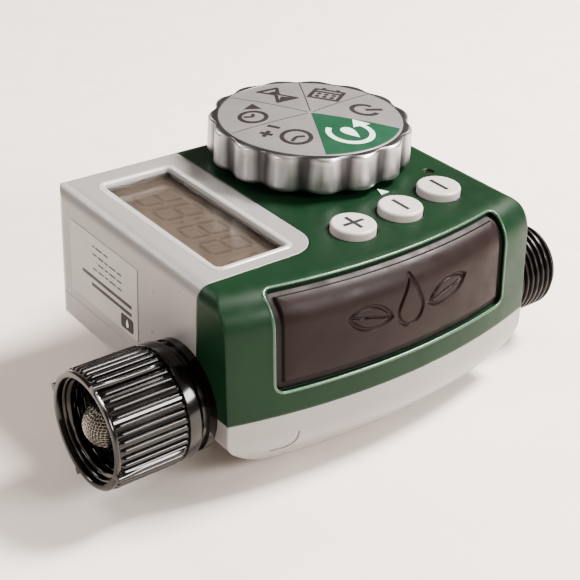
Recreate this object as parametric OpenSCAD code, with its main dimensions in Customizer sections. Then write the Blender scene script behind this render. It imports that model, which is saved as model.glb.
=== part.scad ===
/* [Housing] */
// Length of the housing between its two pipe ends
body_len = 106.4; // [104:0.2:110]
// Distance from the origin to the flat back wall
back_y = 46.9; // [46:0.1:50]
// Distance from the origin to the middle of the bowed front wall
front_y = 46.9; // [46:0.1:50]
// Height of the housing
body_h = 56; // [56:0.5:60]
// Radius of the bowed front wall, seen from above
bow_r = 195; // [180:5:230]
// Height of the joint between the two half shells
split_z = 22.4; // [22:0.1:23]
// Wall thickness of the shells
wall = 2.2; // [2:0.1:2.4]
// Lean of the front wall, in degrees
draft = 4.5; // [3:0.5:6]
// Radius between the front wall and the top
top_fillet = 10; // [9:0.5:11]
// Radius between the front wall and the underside
base_fillet = 18; // [17:0.5:19]
// Radius of the rising ends of the underside
belly_r = 55; // [52:1:60]

/* [Waterway] */
// Height of the water line above the surface it rests on
water_z = 21.4; // [21:0.1:22]
// Offset of the water line from the origin, towards the front
water_front = 19.6; // [19:0.1:20]
// Overall length from the swivel nut to the outlet
water_len = 159.7; // [159:0.1:161]
// Crest radius of the male outlet thread
male_r = 13.35; // [13.2:0.05:13.5]
// Crest radius of the female thread in the swivel nut
female_r = 12.6; // [12.5:0.05:12.8]
// Pitch of the hose thread
pitch = 2.209; // [2.2:0.001:2.22]
// Number of ribs round the swivel nut
nut_ribs = 45; // [40:1:50]

/* [Controls] */
// Radius of the programme dial
dial_r = 30.25; // [29.5:0.25:31]
// Number of scallops round the dial
dial_scallops = 15; // [12:1:18]
// Radius of each push button
button_r = 6.35; // [6:0.05:6.4]
// Height of the buttons above the cover
button_rise = 2.3; // [2:0.1:2.5]
// Width of the display opening
lcd_w = 22; // [20:0.5:22]
// Length of the display opening
lcd_l = 56; // [52:0.5:56]

/* [Batteries] */
// Diameter of one AA cell
cell_d = 14.5; // [14:0.1:14.5]
// Length of one AA cell
cell_l = 50.5; // [50:0.1:50.5]

/* [Hidden] */
$fn = 64;
eps = 0.1;
hx = body_len / 2;
far_r = 5.5;           // upright far corners
end_r = 4;             // top edges at the two ends
belly_flat = 16;       // half width of the flat rest face
belly_end_r = 6;       // corner between the underside and the ends
back_low_r = 5;        // long far edge, underside
back_top_r = 4;        // long far edge, top
bow_cy = bow_r - front_y;
water_y = -water_front;
gray_x = -13.4;        // seam of the display block, right side
gray_y = -25.1;        // seam of the display block, front side
gray_r = 9;            // plan corner of the display block
seam = 0.12;           // gap along each visible seam
lcd_x = -32.1;         // centre of the display
lcd_y = 8.3;
dial_x = 18.3;
dial_y = 20.65;
dial_z0 = 58;          // underside of the dial
dial_h = 10.7;         // dial height without its dome
dial_dome = 1.5;
button_xy = [[-1, -22.8], [17, -21.6], [34.8, -18.2]];
lens_xy = [42.1, -6.5];
plate_x = [-40.5, 41];
plate_z = [29, 55.5];
plate_r = 3;
plate_back = 8.8;      // how far the plate runs up over the front fillet
recess_d = 1.6;
nut_x = -(water_len - 76.9);
outlet_x = 76.9;
board_z = 47.6;
board_t = 1.6;
board_top = board_z + board_t;
shell_screws = [[-46, -34.6], [46, -34.6], [-46, 39.6], [46, 39.6]];
board_screws_green = [[40.5, -27], [38, 36]];
tube_r = 10.5;         // outside of the valve's pipe
tube_gap = 0.3;        // free space round it
socket_r = 12.6;       // half-round sockets of the base under the pipe ends
head_z = 14;           // top of the housing screws' heads
board_screws_gray = [[-16.3, 34], [-16.3, -12]];
bay_x = 30.4;          // half length of the battery bay
bay_y = 9.6;
bay_z = [3, 20];
sleeve = 1.6;
cell_y = [19.2, 35.2];
cell_z = 12.05;
coil_z = 37.5;         // axis of the solenoid
coil_y = [2.6, 30];
seat_z = 29;           // underside of the diaphragm flange

green = "#1f4a2e";
shell_gray = "#c2c1be";
black = "#1c191a";
steel = "#b9bcc0";
brass = "#c9a24a";

// ---------- housing envelope ----------

// Section across the bowed front wall, at radius bow_r - depth, inset by t
module front_section(t) {
  c_z = body_h - top_fillet;
  c_d = (top_fillet + (c_z - split_z) * sin(draft)) / cos(draft);
  deep = bow_r - 110;
  polygon([
    [deep, t], [bow_r - base_fillet, t], [bow_r - t, base_fillet], [bow_r - t, split_z],
    [bow_r - t / cos(draft), split_z],
    [bow_r - c_d + (top_fillet - t) * cos(draft), c_z + (top_fillet - t) * sin(draft)],
    [bow_r - c_d, body_h - t], [deep, body_h - t]]);
  translate([bow_r - base_fillet, base_fillet]) circle(base_fillet - t);
  translate([bow_r - c_d, c_z]) circle(top_fillet - t);
}

// Outline from above, without the bowed front
module plan(t) {
  q = max(far_r, t + 0.5);
  translate([t - hx, -70]) square([2 * (hx - t), 70 + back_y - q]);
  translate([q - hx, -70]) square([2 * (hx - q), 70 + back_y - t]);
  for (s = [-1, 1]) translate([s * (hx - q), back_y - q]) circle(q - t);
}

// Section along the length: flat middle, rising ends, rounded top edges
module long_section(t) {
  q = max(end_r, t + 0.5);
  b = max(belly_end_r, t + 0.5);
  in_x = hx - b - belly_flat;
  b_z = belly_r - sqrt(pow(belly_r - b, 2) - pow(in_x, 2));
  k = belly_r / (belly_r - b);
  mid_x = belly_flat + in_x * k;
  mid_z = belly_r - (belly_r - b_z) * k;
  translate([t - hx, b_z]) square([2 * (hx - t), body_h - q - b_z]);
  translate([q - hx, b_z]) square([2 * (hx - q), body_h - t - b_z]);
  translate([-belly_flat, t]) square([2 * belly_flat, body_h / 2]);
  for (s = [-1, 1]) {
    translate([s * (hx - q), body_h - q]) circle(q - t);
    translate([s * (hx - b), b_z]) circle(b - t);
    intersection() {
      translate([s * belly_flat, belly_r]) circle(belly_r - t);
      polygon([[s * belly_flat, 0], [s * mid_x, 0], [s * mid_x, mid_z],
        [s * (hx - b), b_z], [s * (hx - b), 30], [s * belly_flat, 30]]);
    }
  }
}

// Section across the body: only rounds the two far edges
module cross_section(t) {
  lo = max(back_low_r, t + 0.5);
  hi = max(back_top_r, t + 0.5);
  translate([-80, lo]) square([80 + back_y - t, body_h - hi - lo]);
  translate([-80, -5]) square([80 + back_y - lo, 5 + body_h - hi]);
  translate([-80, body_h / 2]) square([80 + back_y - hi, body_h / 2 - t]);
  translate([back_y - lo, lo]) circle(lo - t);
  translate([back_y - hi, body_h - hi]) circle(hi - t);
}

// The whole closed housing, inset by t
module body_solid(t) {
  intersection() {
    translate([0, bow_cy, 0]) rotate_extrude($fn = 128) front_section(t);
    translate([0, 0, -1]) linear_extrude(body_h + 2) plan(t);
    rotate([90, 0, 0]) translate([0, 0, -60]) linear_extrude(140) long_section(t);
    rotate([90, 0, 90]) translate([0, 0, -70]) linear_extrude(140) cross_section(t);
  }
}

module box(lo, hi) {
  translate(lo) cube(hi - lo);
}

module upper_half() {
  intersection() {
    children();
    box([-90, -90, split_z], [90, 90, body_h + 5]);
  }
}

module lower_half() {
  intersection() {
    children();
    box([-90, -90, -5], [90, 90, split_z]);
  }
}

// A band of the housing wall between two insets and two heights
module wall_band(t_out, t_in, z0, z1) {
  intersection() {
    difference() {
      body_solid(t_out);
      body_solid(t_in);
    }
    box([-90, -90, z0], [90, 90, z1]);
  }
}

// Plan outline of the display block, grown by g
module gray_plan(g) {
  r = gray_r + g;
  difference() {
    translate([-90, gray_y - g]) square([90 + gray_x + g, 170]);
    translate([gray_x + g - r, gray_y - g - 1]) square([r + 1, r + 1]);
  }
  translate([gray_x + g - r, gray_y - g + r]) circle(r);
}

module gray_prism(g, z0, z1) {
  translate([0, 0, z0]) linear_extrude(z1 - z0) gray_plan(g);
}

// Opening of the water line through the end walls
module water_hole(r) {
  translate([-90, water_y, water_z]) rotate([0, 90, 0]) cylinder(h = 180, r = r);
}

module along_x(x0, x1, r) {
  translate([x0, water_y, water_z]) rotate([0, 90, 0]) cylinder(h = x1 - x0, r = r);
}

module along_y(y0, y1, r, x, z) {
  translate([x, y0, z]) rotate([-90, 0, 0]) cylinder(h = y1 - y0, r = r);
}

module post(xy, z0, z1, r) {
  translate([xy[0], xy[1], z0]) cylinder(h = z1 - z0, r = r);
}

// ---------- shells ----------

// Shallow scribed line on the front of the base, near the inlet
module base_scribe() {
  depth = 0.45;
  w = 0.6;
  r = 4;
  x_end = -33.2;
  z_low = 10.2;
  z_top = 15.8;
  x_start = -40.5;
  difference() {
    rotate([90, 0, 0]) translate([0, 0, 30]) linear_extrude(30) {
      translate([x_end - w, z_low + r]) square([w, z_top - z_low - r]);
      translate([x_start, z_low]) square([x_end - r - x_start, w]);
      intersection() {
        translate([x_end - r, z_low]) square(r);
        translate([x_end - r, z_low + r]) difference() {
          circle(r);
          circle(r - w);
        }
      }
    }
    body_solid(depth);
  }
}

module drawer_mouth(gap) {
  box([-31.6 - gap, back_y - 2.4, 1.6 - gap], [31.6 + gap, back_y + 5, 21 + gap]);
}

module rear_shell() {
  color(shell_gray) difference() {
    union() {
      difference() {
        lower_half() body_solid(0);
        body_solid(wall);
      }
      lower_half() wall_band(wall - eps, wall + 2.4, 17.5, 19.6);
      lower_half() {
        along_x(-hx + 0.15, -hx + 14, socket_r);
        along_x(hx - 14, hx - 0.15, socket_r);
      }
      intersection() {
        for (p = shell_screws) post(p, 1, split_z, 3.8);
        body_solid(0.6);
      }
      intersection() {
        box([-bay_x - sleeve, bay_y - sleeve, 1], [bay_x + sleeve, back_y, bay_z[1] + sleeve]);
        body_solid(0.6);
      }
    }
    box([-bay_x, bay_y, bay_z[0]], [bay_x, back_y + 1, bay_z[1]]);
    drawer_mouth(0.35);
    for (x = [-20, 20]) along_y(bay_y - 3, bay_y + 1, 0.64, x, 16);
    for (p = shell_screws) {
      post(p, -1, head_z, 3.3);
      post(p, head_z - 1, split_z + 1, 1.6);
    }
    along_x(-hx - 1, -hx + 8, 9.2);
    along_x(hx - 8, hx + 1, 9.2);
    along_x(-hx + wall, hx - wall, tube_r + tube_gap);
    base_scribe();
  }
}

// Outline of the front recess, shrunk by g
module plate_outline(g) {
  x0 = plate_x[0] + g;
  x1 = plate_x[1] - g;
  z0 = plate_z[0] + g;
  z1 = plate_z[1] - g;
  r = plate_r - g;
  translate([x0, z0 + r]) square([x1 - x0, z1 - z0 - 2 * r]);
  translate([x0 + r, z0]) square([x1 - x0 - 2 * r, z1 - z0]);
  for (x = [x0 + r, x1 - r]) for (z = [z0 + r, z1 - r]) translate([x, z]) circle(r);
}

// Part of the wall behind the plate, between two insets, shrunk by g
module plate_zone(t_out, t_in, g) {
  intersection() {
    difference() {
      body_solid(t_out);
      body_solid(t_in);
    }
    rotate([90, 0, 0]) translate([0, 0, 25]) linear_extrude(30) plate_outline(g);
    translate([0, bow_cy, 0]) difference() {
      cylinder(h = 70, r = bow_r + 4, $fn = 128);
      translate([0, 0, -1]) cylinder(h = 72, r = bow_r - plate_back + g, $fn = 128);
    }
  }
}

module front_cover() {
  color(green) difference() {
    union() {
      difference() {
        upper_half() body_solid(0);
        body_solid(wall);
        gray_prism(seam, split_z - 1, body_h + 1);
      }
      intersection() {
        plate_zone(wall - eps, recess_d + 1.8, -2.4);
        upper_half() body_solid(1);
      }
      difference() {
        upper_half() wall_band(wall - eps, wall + 2.2, 23.2, 25.4);
        gray_prism(1, 20, 30);
      }
      intersection() {
        union() {
          post(shell_screws[0], split_z, body_h - 1, 3.8);
          post(shell_screws[1], split_z, body_h - 1, 3.8);
          post(shell_screws[3], split_z, body_h - 1, 3.8);
          for (p = board_screws_green) post(p, board_top + 0.05, body_h - 1, 2.6);
        }
        body_solid(1);
      }
      post([dial_x, dial_y], 52.5, 56.9, 7.5);
      post([dial_x, dial_y], 55, 56.5, 25);
    }
    plate_zone(-1, recess_d, 0);
    post([dial_x, dial_y], 50, 60, 4.05);
    for (p = button_xy) post(p, 50, 60, button_r + 0.35);
    post(lens_xy, 50, 60, 1.6);
    for (p = [shell_screws[0], shell_screws[1], shell_screws[3]]) post(p, split_z - 1, 40, 1.5);
    for (p = board_screws_green) post(p, board_z, 53.6, 1);
    along_x(-hx - 1, -hx + 8, 9.2);
    along_x(hx - 8, hx + 1, 9.2);
    along_x(-hx + wall, hx - wall, tube_r + tube_gap);
  }
}

module lcd_prism(grow, z0, z1) {
  w = lcd_w / 2 + grow;
  l = lcd_l / 2 + grow;
  box([lcd_x - w, lcd_y - l, z0], [lcd_x + w, lcd_y + l, z1]);
}

module display_housing() {
  color(shell_gray) difference() {
    union() {
      intersection() {
        difference() {
          upper_half() body_solid(0);
          body_solid(wall);
        }
        gray_prism(0, split_z, body_h + 1);
      }
      intersection() {
        difference() {
          gray_prism(2.6, 52, body_h - wall - 0.1);
          gray_prism(-1.6, 51, body_h);
        }
        body_solid(wall + 0.1);
      }
      intersection() {
        gray_prism(-1, 52, body_h - wall + eps);
        difference() {
          gray_prism(-seam, 52, body_h);
          gray_prism(-1.6, 51, body_h + 1);
        }
        body_solid(wall);
      }
      intersection() {
        wall_band(wall - eps, wall + 2.2, 23.2, 25.4);
        gray_prism(0, 20, 30);
      }
      intersection() {
        union() {
          post(shell_screws[2], split_z, body_h - 1, 3.8);
          for (p = board_screws_gray) post(p, board_top + 0.05, body_h - 1, 2.4);
        }
        body_solid(1);
      }
    }
    lcd_prism(0, 50, 60);
    lcd_prism(1, 55.2, 60);
    lcd_prism(2.1, 50, 53.9);
    post(shell_screws[2], split_z - 1, 40, 1.5);
    for (p = board_screws_gray) post(p, board_z, 53.6, 1);
    along_x(-hx - 1, -hx + 8, 9.2);
    along_x(-hx + wall, hx - wall, tube_r + tube_gap);
  }
}

module housing_seal() {
  color(black) difference() {
    wall_band(wall + 0.15, wall + 2, 19.6, 23.2);
    along_x(-hx - 1, hx + 1, socket_r + 0.15);
    for (p = shell_screws) post(p, 10, 30, 4);
    box([-bay_x - sleeve - 0.1, 40, 10], [bay_x + sleeve + 0.1, 50, bay_z[1] + sleeve + 0.02]);
  }
}

module name_plate() {
  color("#3d2f2e") plate_zone(0.15, recess_d - 0.02, 0.3);
}

module display_window() {
  color("#8f8276", 0.5) {
    lcd_prism(2, 52.4, 53.85);
    lcd_prism(-0.1, 53.8, 54.7);
  }
}

module pointer_mark() {
  color("#cfe3d2") translate([21, -9.2, body_h])
    rotate([0, 0, 95]) linear_extrude(0.25) polygon([[-1.6, -1.5], [1.6, 0], [-1.6, 1.5]]);
}

module status_lens() {
  color("#301414") {
    post(lens_xy, 52.6, 53.75, 2.4);
    post(lens_xy, 53.7, 55.6, 1.5);
  }
}

module side_label() {
  color("#d7d5d1") difference() {
    box([-hx - 0.15, 2.2, 25.6], [-hx, 37.6, 48]);
    body_solid(0);
  }
}

module housing_screws() {
  color(steel) for (p = shell_screws) {
    post(p, head_z, 36, 1.45);
    difference() {
      post(p, head_z - 2.6, head_z, 2.9);
      translate([p[0], p[1], head_z - 2.7]) cylinder(h = 1.4, r = 1.4, $fn = 6);
    }
  }
}

// ---------- dial ----------

// Round lens-shaped top, rise high and r wide
module dome(r, rise, z) {
  big = (r * r + rise * rise) / (2 * rise);
  translate([0, 0, z + rise - big]) rotate_extrude() intersection() {
    circle(big, $fn = 256);
    translate([0, big - rise]) square([r, rise + 1]);
  }
}

module dial_knob() {
  edge = 1.8;
  top = dial_z0 + dial_h;
  color("#b5b2b1") translate([dial_x, dial_y, 0]) difference() {
    union() {
      rotate_extrude() {
        translate([0, dial_z0]) square([dial_r, dial_h - edge]);
        square_to(dial_r - edge, top);
        translate([dial_r - edge, top - edge]) circle(edge);
      }
      dome(dial_r - edge - 0.2, dial_dome, top);
    }
    for (i = [0:dial_scallops - 1]) rotate([0, 0, i * 360 / dial_scallops])
      translate([dial_r + 3.6, 0, dial_z0 - 1]) cylinder(h = dial_h + 4, r = 5);
    difference() {
      translate([0, 0, dial_z0 - 1]) cylinder(h = dial_h - 1.6, r = dial_r - 3.4);
      translate([0, 0, dial_z0 - 2]) cylinder(h = dial_h, r = 7.5);
    }
    difference() {
      dome(dial_r - edge - 0.2, dial_dome + 0.01, top);
      translate([0, 0, -0.5]) dome(dial_r - edge - 0.2, dial_dome, top);
      translate([0, 0, top - 2]) difference() {
        cylinder(h = 6, r = 40);
        translate([0, 0, -1]) cylinder(h = 8, r = 25.8);
      }
    }
    translate([0, 0, dial_z0 - 1]) cylinder(h = 8.5, r = 4.02);
  }
}

// Rectangle from the axis out to r, from the dial's underside up to z
module square_to(r, z) {
  translate([0, dial_z0]) square([r, z - dial_z0]);
}

module dial_face() {
  top = dial_z0 + dial_h;
  r = dial_r - 2;
  color("#c4c2c0") translate([dial_x, dial_y, 0]) intersection() {
    difference() {
      dome(r, dial_dome, top);
      translate([0, 0, -0.48]) dome(r, dial_dome, top);
    }
    translate([0, 0, top - 2]) cylinder(h = 6, r = 25.7);
  }
}

module dial_shaft() {
  color(shell_gray) difference() {
    post([dial_x, dial_y], 49.7, 65.4, 4);
    translate([dial_x, dial_y, 51.65]) difference() {
      cylinder(h = 0.7, r = 5);
      translate([0, 0, -1]) cylinder(h = 3, r = 3.2);
    }
  }
}

module ring(x, y, z, r_mid, r_sec) {
  translate([x, y, z]) rotate_extrude() translate([r_mid, 0]) circle(r_sec);
}

module dial_seal() {
  color(black) ring(dial_x, dial_y, 57.45, 4.56, 0.52);
}

module dial_clip() {
  color(steel) translate([dial_x, dial_y, 51.7]) difference() {
    cylinder(h = 0.6, r = 5.6);
    translate([0, 0, -1]) cylinder(h = 3, r = 3.25);
    translate([-2.2, 0, -1]) cube([4.4, 8, 3]);
  }
}

module switch_rotor() {
  color(black) difference() {
    post([dial_x, dial_y], 50.2, 51.5, 9);
    post([dial_x, dial_y], 50, 52, 4.02);
    for (i = [0:11]) translate([dial_x, dial_y, 50]) rotate([0, 0, i * 30])
      translate([9.2, 0, 0]) cylinder(h = 2, r = 0.7);
  }
}

module wiper_contacts() {
  color(brass) translate([dial_x, dial_y, 0]) for (a = [0, 120, 240]) rotate([0, 0, a]) {
    translate([5, -0.8, 49.95]) cube([3.4, 1.6, 0.25]);
    translate([7.4, 0, 49.75]) cylinder(h = 0.25, r = 0.6);
  }
}

module contact_pads() {
  color(brass) translate([dial_x, dial_y, board_top]) for (i = [0:5]) rotate([0, 0, i * 60])
    translate([6, -2, 0]) cube([2.6, 4, 0.12]);
}

module detent_spring() {
  color(steel) translate([dial_x, dial_y, 0]) {
    translate([-5, 9.5, 50.2]) cube([10, 0.3, 1.2]);
    translate([4.7, 9.5, board_top]) cube([1.6, 0.3, 2.2]);
    translate([-6.3, 9.5, board_top]) cube([1.6, 0.3, 2.2]);
  }
}

// ---------- buttons ----------

// Cap, flange and stem of one button
module button_base(p) {
  z_top = body_h + button_rise;
  edge = 0.8;
  translate([p[0], p[1], 0]) {
    rotate_extrude() {
      translate([0, 53]) square([button_r, button_rise + 3 - edge]);
      translate([0, 53]) square([button_r - edge, button_rise + 3]);
      translate([button_r - edge, z_top - edge]) circle(edge);
    }
    translate([0, 0, 52.55]) cylinder(h = 0.9, r = button_r + 1);
  }
}

module mark_bar(p, along, size, depth) {
  z_top = body_h + button_rise;
  translate([p[0], p[1], z_top - depth + 0.5]) rotate([0, 0, along])
    cube([size, 0.8, 1], center = true);
}

module plus_button() {
  color("#d2cccb") difference() {
    button_base(button_xy[0]);
    mark_bar(button_xy[0], 0, 5, 0.25);
    mark_bar(button_xy[0], 90, 5, 0.25);
  }
}

module minus_button() {
  color("#d2cccb") difference() {
    button_base(button_xy[1]);
    mark_bar(button_xy[1], 90, 5, 0.25);
  }
}

module manual_button() {
  color("#d2cccb") difference() {
    button_base(button_xy[2]);
    mark_bar(button_xy[2], 90, 6, 0.25);
  }
}

module tact_switches() {
  color(black) for (p = button_xy) {
    box([p[0] - 3, p[1] - 3, board_top], [p[0] + 3, p[1] + 3, 50.9]);
    post(p, 50.8, 51.5, 1.7);
  }
}

// ---------- electronics ----------

module circuit_board() {
  color("#2f5b3a") difference() {
    union() {
      box([-46.5, -29.5, board_z], [46.5, 34, board_top]);
      box([-41.4, 33, board_z], [41.4, 40, board_top]);
    }
    for (p = board_screws_green) post(p, board_z - 1, board_top + 1, 1.1);
    for (p = board_screws_gray) post(p, board_z - 1, board_top + 1, 1.1);
  }
}

module board_screws() {
  color(steel) for (p = concat(board_screws_green, board_screws_gray)) {
    post(p, board_z - 0.1, 52.8, 0.95);
    difference() {
      post(p, board_z - 1.5, board_z, 1.9);
      translate([p[0], p[1], board_z - 1.6]) cylinder(h = 0.9, r = 0.8, $fn = 6);
    }
  }
}

module controller_chip() {
  color(black) {
    box([-30, -4, board_z - 1.6], [-20, 6, board_z]);
    for (i = [0:7]) {
      box([-29.2 + i * 1.2, -5, board_z - 0.5], [-28.8 + i * 1.2, -4, board_z]);
      box([-29.2 + i * 1.2, 6, board_z - 0.5], [-28.8 + i * 1.2, 7, board_z]);
    }
  }
}

module storage_capacitor() {
  color("#24303a") translate([30, 18, board_z - 5.2]) {
    rotate([0, 90, 0]) cylinder(h = 10, r = 5.1);
    translate([-0.5, -1, 0]) cube([0.6, 0.6, 5.2]);
    translate([-0.5, 1, 0]) cube([0.6, 0.6, 5.2]);
  }
}

module lcd_glass() {
  color("#8a8577") lcd_prism(1, 50.3, 52.2);
}

module lcd_holder() {
  color(black) difference() {
    lcd_prism(2, board_top, 52.3);
    lcd_prism(1.1, 50.2, 53);
    lcd_prism(-1.5, board_top - 1, 53);
    post(shell_screws[2], board_z, 54, 4.1);
  }
}

module lcd_connectors() {
  color("#c98fa0") for (s = [-1, 1])
    box([lcd_x - 9.3, lcd_y + s * 25 - 1, board_top], [lcd_x + 9.3, lcd_y + s * 25 + 1, 50.3]);
}

// A lead through the points in p: straight runs with round elbows
module wire(p, r) {
  for (i = [0:len(p) - 2]) {
    v = p[i + 1] - p[i];
    l = norm(v);
    translate(p[i]) rotate([0, acos(v[2] / l), atan2(v[1], v[0])]) cylinder(h = l, r = r);
    if (i > 0) translate(p[i]) sphere(r + 0.06, $fn = 24);
  }
}

module solenoid_wires() {
  color("#a02020") for (s = [-1, 1])
    wire([[s * 5, 30.1, 40], [s * 5, 33, 41], [s * 5, 34, 44], [s * 5, 34, board_z]], 0.6);
}

module battery_wires() {
  color("#202020") for (s = [-1, 1])
    wire([[s * 20, 7.4, 16], [s * 20, 6.2, 16], [s * 20, 5, 18], [s * 18, 5, 26], [s * 16, -2, 40],
      [s * 16, -4, board_z]], 0.6);
}

// ---------- batteries ----------

module battery_drawer() {
  y0 = bay_y + 0.5;
  y1 = back_y - 2.4;
  color(shell_gray) {
    difference() {
      union() {
        intersection() {
          body_solid(0);
          drawer_mouth(0);
        }
        box([-bay_x + 0.4, y0, bay_z[0] + 0.4], [bay_x - 0.4, y1 + eps, bay_z[0] + 9]);
      }
      box([-bay_x + 1.8, y0 + 1.2, bay_z[0] + 1.6], [bay_x - 1.8, y1 - 1, bay_z[0] + 12]);
      box([-9, back_y - 0.9, 4], [9, back_y + 1, 6.4]);
    }
  }
}

module battery_seal() {
  color(black) difference() {
    box([-bay_x + 0.1, 43, bay_z[0] + 0.1], [bay_x - 0.1, 44.45, bay_z[1] - 0.1]);
    box([-bay_x + 1.9, 42, bay_z[0] + 1.7], [bay_x - 1.9, 45, bay_z[1] - 1.6]);
    box([-bay_x + 0.35, 40, bay_z[0] + 0.3], [bay_x - 0.35, 45, bay_z[0] + 9.1]);
  }
}

module battery_cells() {
  color("#2b2b2f") for (i = [0, 1]) {
    s = i == 0 ? 1 : -1;
    translate([0, cell_y[i], cell_z]) rotate([0, 90, 0]) {
      translate([0, 0, -cell_l / 2 + (i == 0 ? 0 : 1)]) cylinder(h = cell_l - 1, r = cell_d / 2);
      translate([0, 0, s * cell_l / 2 - (i == 0 ? 1.1 : 0)]) cylinder(h = 1.1, r = 2.7);
    }
  }
}

module cell_springs() {
  color(steel) for (i = [0, 1]) {
    s = i == 0 ? -1 : 1;
    for (k = [0:2]) translate([s * (25.75 + k * 0.85), cell_y[i], cell_z]) rotate([0, 90, 0])
      rotate_extrude() translate([3 + k * 0.9, 0]) circle(0.43);
  }
}

module cell_plates() {
  color(steel) for (i = [0, 1]) {
    s = i == 0 ? -1 : 1;
    x_spring = s > 0 ? 28.1 : -28.5;
    x_flat = s > 0 ? -25.75 : 25.35;
    box([x_spring, cell_y[i] - 5, 5], [x_spring + 0.4, cell_y[i] + 5, 16]);
    box([x_flat, cell_y[i] - 5, 5], [x_flat + 0.4, cell_y[i] + 5, 16]);
  }
}

module terminal_blades() {
  color(brass) for (s = [-1, 1]) {
    box([s * 20 - 2, bay_y, 13], [s * 20 + 2, bay_y + 0.3, 18]);
    along_y(bay_y - 2.2, bay_y + 0.1, 0.6, s * 20, 16);
  }
}

// ---------- waterway ----------

// Half-round ridges of a thread drawn as rings, from x0 to x1
module ring_grooves(x0, count, r_in, r_out, w) {
  for (i = [0:count - 1]) translate([x0 + i * pitch, water_y, water_z]) rotate([0, 90, 0])
    difference() {
      cylinder(h = w, r = r_out);
      translate([0, 0, -1]) cylinder(h = w + 2, r = r_in);
    }
}

module inlet_nut() {
  rib_phase = 4.8;
  lug_phase = 17;
  rib_end = nut_x + 20.8;
  rear = nut_x + 25.3;
  color(black) difference() {
    union() {
      along_x(nut_x, rear, 15.5);
      along_x(nut_x, nut_x + 1.6, 15.8);
      along_x(rib_end, rear, 16);
      translate([nut_x, water_y, water_z]) rotate([0, 90, 0]) {
        for (i = [0:nut_ribs - 1]) rotate([0, 0, rib_phase + i * 360 / nut_ribs])
          translate([15.45, 0, 1.3]) cylinder(h = 19.6, r = 0.68);
        for (a = [0:90:270]) rotate([0, 0, a + lug_phase])
          translate([0, -1.05, 0]) cube([17.2, 2.1, 20.3]);
      }
    }
    along_x(nut_x - 1, nut_x + 1.8, 14);
    along_x(nut_x - 1, nut_x + 16.8, female_r);
    ring_grooves(nut_x + 3, 5, 12, 13.5, 1.25);
    along_x(nut_x + 13.4, nut_x + 16.8, 13.2);
    along_x(nut_x, rear + 1, 10);
  }
}

module filter_screen() {
  r = 6;
  long = 4.3;
  skin = 0.5;
  base_x = nut_x + 10.8;
  color("#b9a77c") translate([base_x, water_y, water_z]) rotate([0, -90, 0]) rotate_extrude() {
    translate([r - skin, 0]) square([skin, long]);
    translate([r - skin, 0]) square([11.8 - r + skin, 0.6]);
    translate([0, long]) intersection() {
      square(r);
      difference() {
        circle(r);
        circle(r - skin);
      }
    }
  }
}

module hose_washer() {
  color(black) difference() {
    along_x(nut_x + 10.9, nut_x + 13.5, 12.2);
    along_x(nut_x + 10, nut_x + 14, 8);
  }
}

module inlet_tailpiece() {
  color(black) difference() {
    union() {
      along_x(nut_x + 13.6, nut_x + 16.3, 12.2);
      along_x(nut_x + 16, nut_x + 27.6, 9.93);
      along_x(nut_x + 26, nut_x + 27.6, 14.6);
      along_x(nut_x + 27.4, -hx, 15.4);
      along_x(-hx - eps, -hx + 8.4, 9);
    }
    along_x(nut_x, -hx + 9, 6.5);
    translate([-hx + 5.2, water_y, water_z]) rotate([0, 90, 0]) difference() {
      cylinder(h = 1.8, r = 10);
      translate([0, 0, -1]) cylinder(h = 4, r = 7.9);
    }
  }
}

module o_ring_x(x, r_mid, r_sec) {
  translate([x, water_y, water_z]) rotate([0, 90, 0]) rotate_extrude()
    translate([r_mid, 0]) circle(r_sec);
}

module inlet_seal() {
  color("#5a3a30") o_ring_x(-hx + 6.1, 8.46, 0.54);
}

module outlet_seal() {
  color("#5a3a30") o_ring_x(hx - 6.1, 8.46, 0.54);
}

module outlet_spigot() {
  root = male_r - 1.1;
  thread_x0 = hx + 4.4;
  color(black) difference() {
    union() {
      along_x(hx - 8.4, hx + eps, 9);
      along_x(hx, hx + 2.4, 13.9);
      along_x(hx + 2.3, outlet_x, root);
      for (i = [0:7]) along_x(thread_x0 + i * pitch, thread_x0 + i * pitch + 1.15, male_r);
      along_x(thread_x0 + 8 * pitch, thread_x0 + 8 * pitch + 0.7, male_r - 0.5);
    }
    along_x(hx - 9, outlet_x + 1, 6.5);
    along_x(outlet_x - 6, outlet_x + 1, 8.6);
    translate([hx - 7, water_y, water_z]) rotate([0, 90, 0]) difference() {
      cylinder(h = 1.8, r = 10);
      translate([0, 0, -1]) cylinder(h = 4, r = 7.9);
    }
  }
}

module bonnet_screw_at() {
  for (a = [45:90:315]) rotate([0, 0, a]) translate([18.4, 0, 0]) children();
}

module valve_body() {
  end_x = hx - wall - 0.1;
  color("#2a2a2d") difference() {
    union() {
      along_x(-end_x, end_x, tube_r);
      post([0, water_y], 9.5, seat_z + 3, 17);
      post([0, water_y], seat_z, seat_z + 3, 20);
      translate([0, water_y, seat_z - 3]) bonnet_screw_at() cylinder(h = 5.5, r = 2.6);
    }
    along_x(-end_x - 1, -hx + 9, 9.05);
    along_x(hx - 9, end_x + 1, 9.05);
    along_x(-hx, -9.6, 6.5);
    along_x(-6.4, hx, 6.5);
    translate([0, water_y, seat_z - 5]) difference() {
      cylinder(h = 10, r = 14);
      translate([0, 0, -1]) cylinder(h = 7.4, r = 8.6);
    }
    post([0, water_y], water_z - 2, seat_z + 5, 5.8);
    translate([0, water_y, seat_z - 2.4]) bonnet_screw_at() cylinder(h = 8, r = 1.1);
  }
}

module diaphragm() {
  z0 = seat_z + 3;
  color("#3a3634") difference() {
    post([0, water_y], z0, z0 + 1.5, 16.4);
    post([0, water_y], z0 - 1, z0 + 3, 8.8);
    translate([0, water_y, z0 + 0.9]) difference() {
      cylinder(h = 2, r = 12.4);
      translate([0, 0, -1]) cylinder(h = 4, r = 10.4);
    }
  }
}

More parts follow.
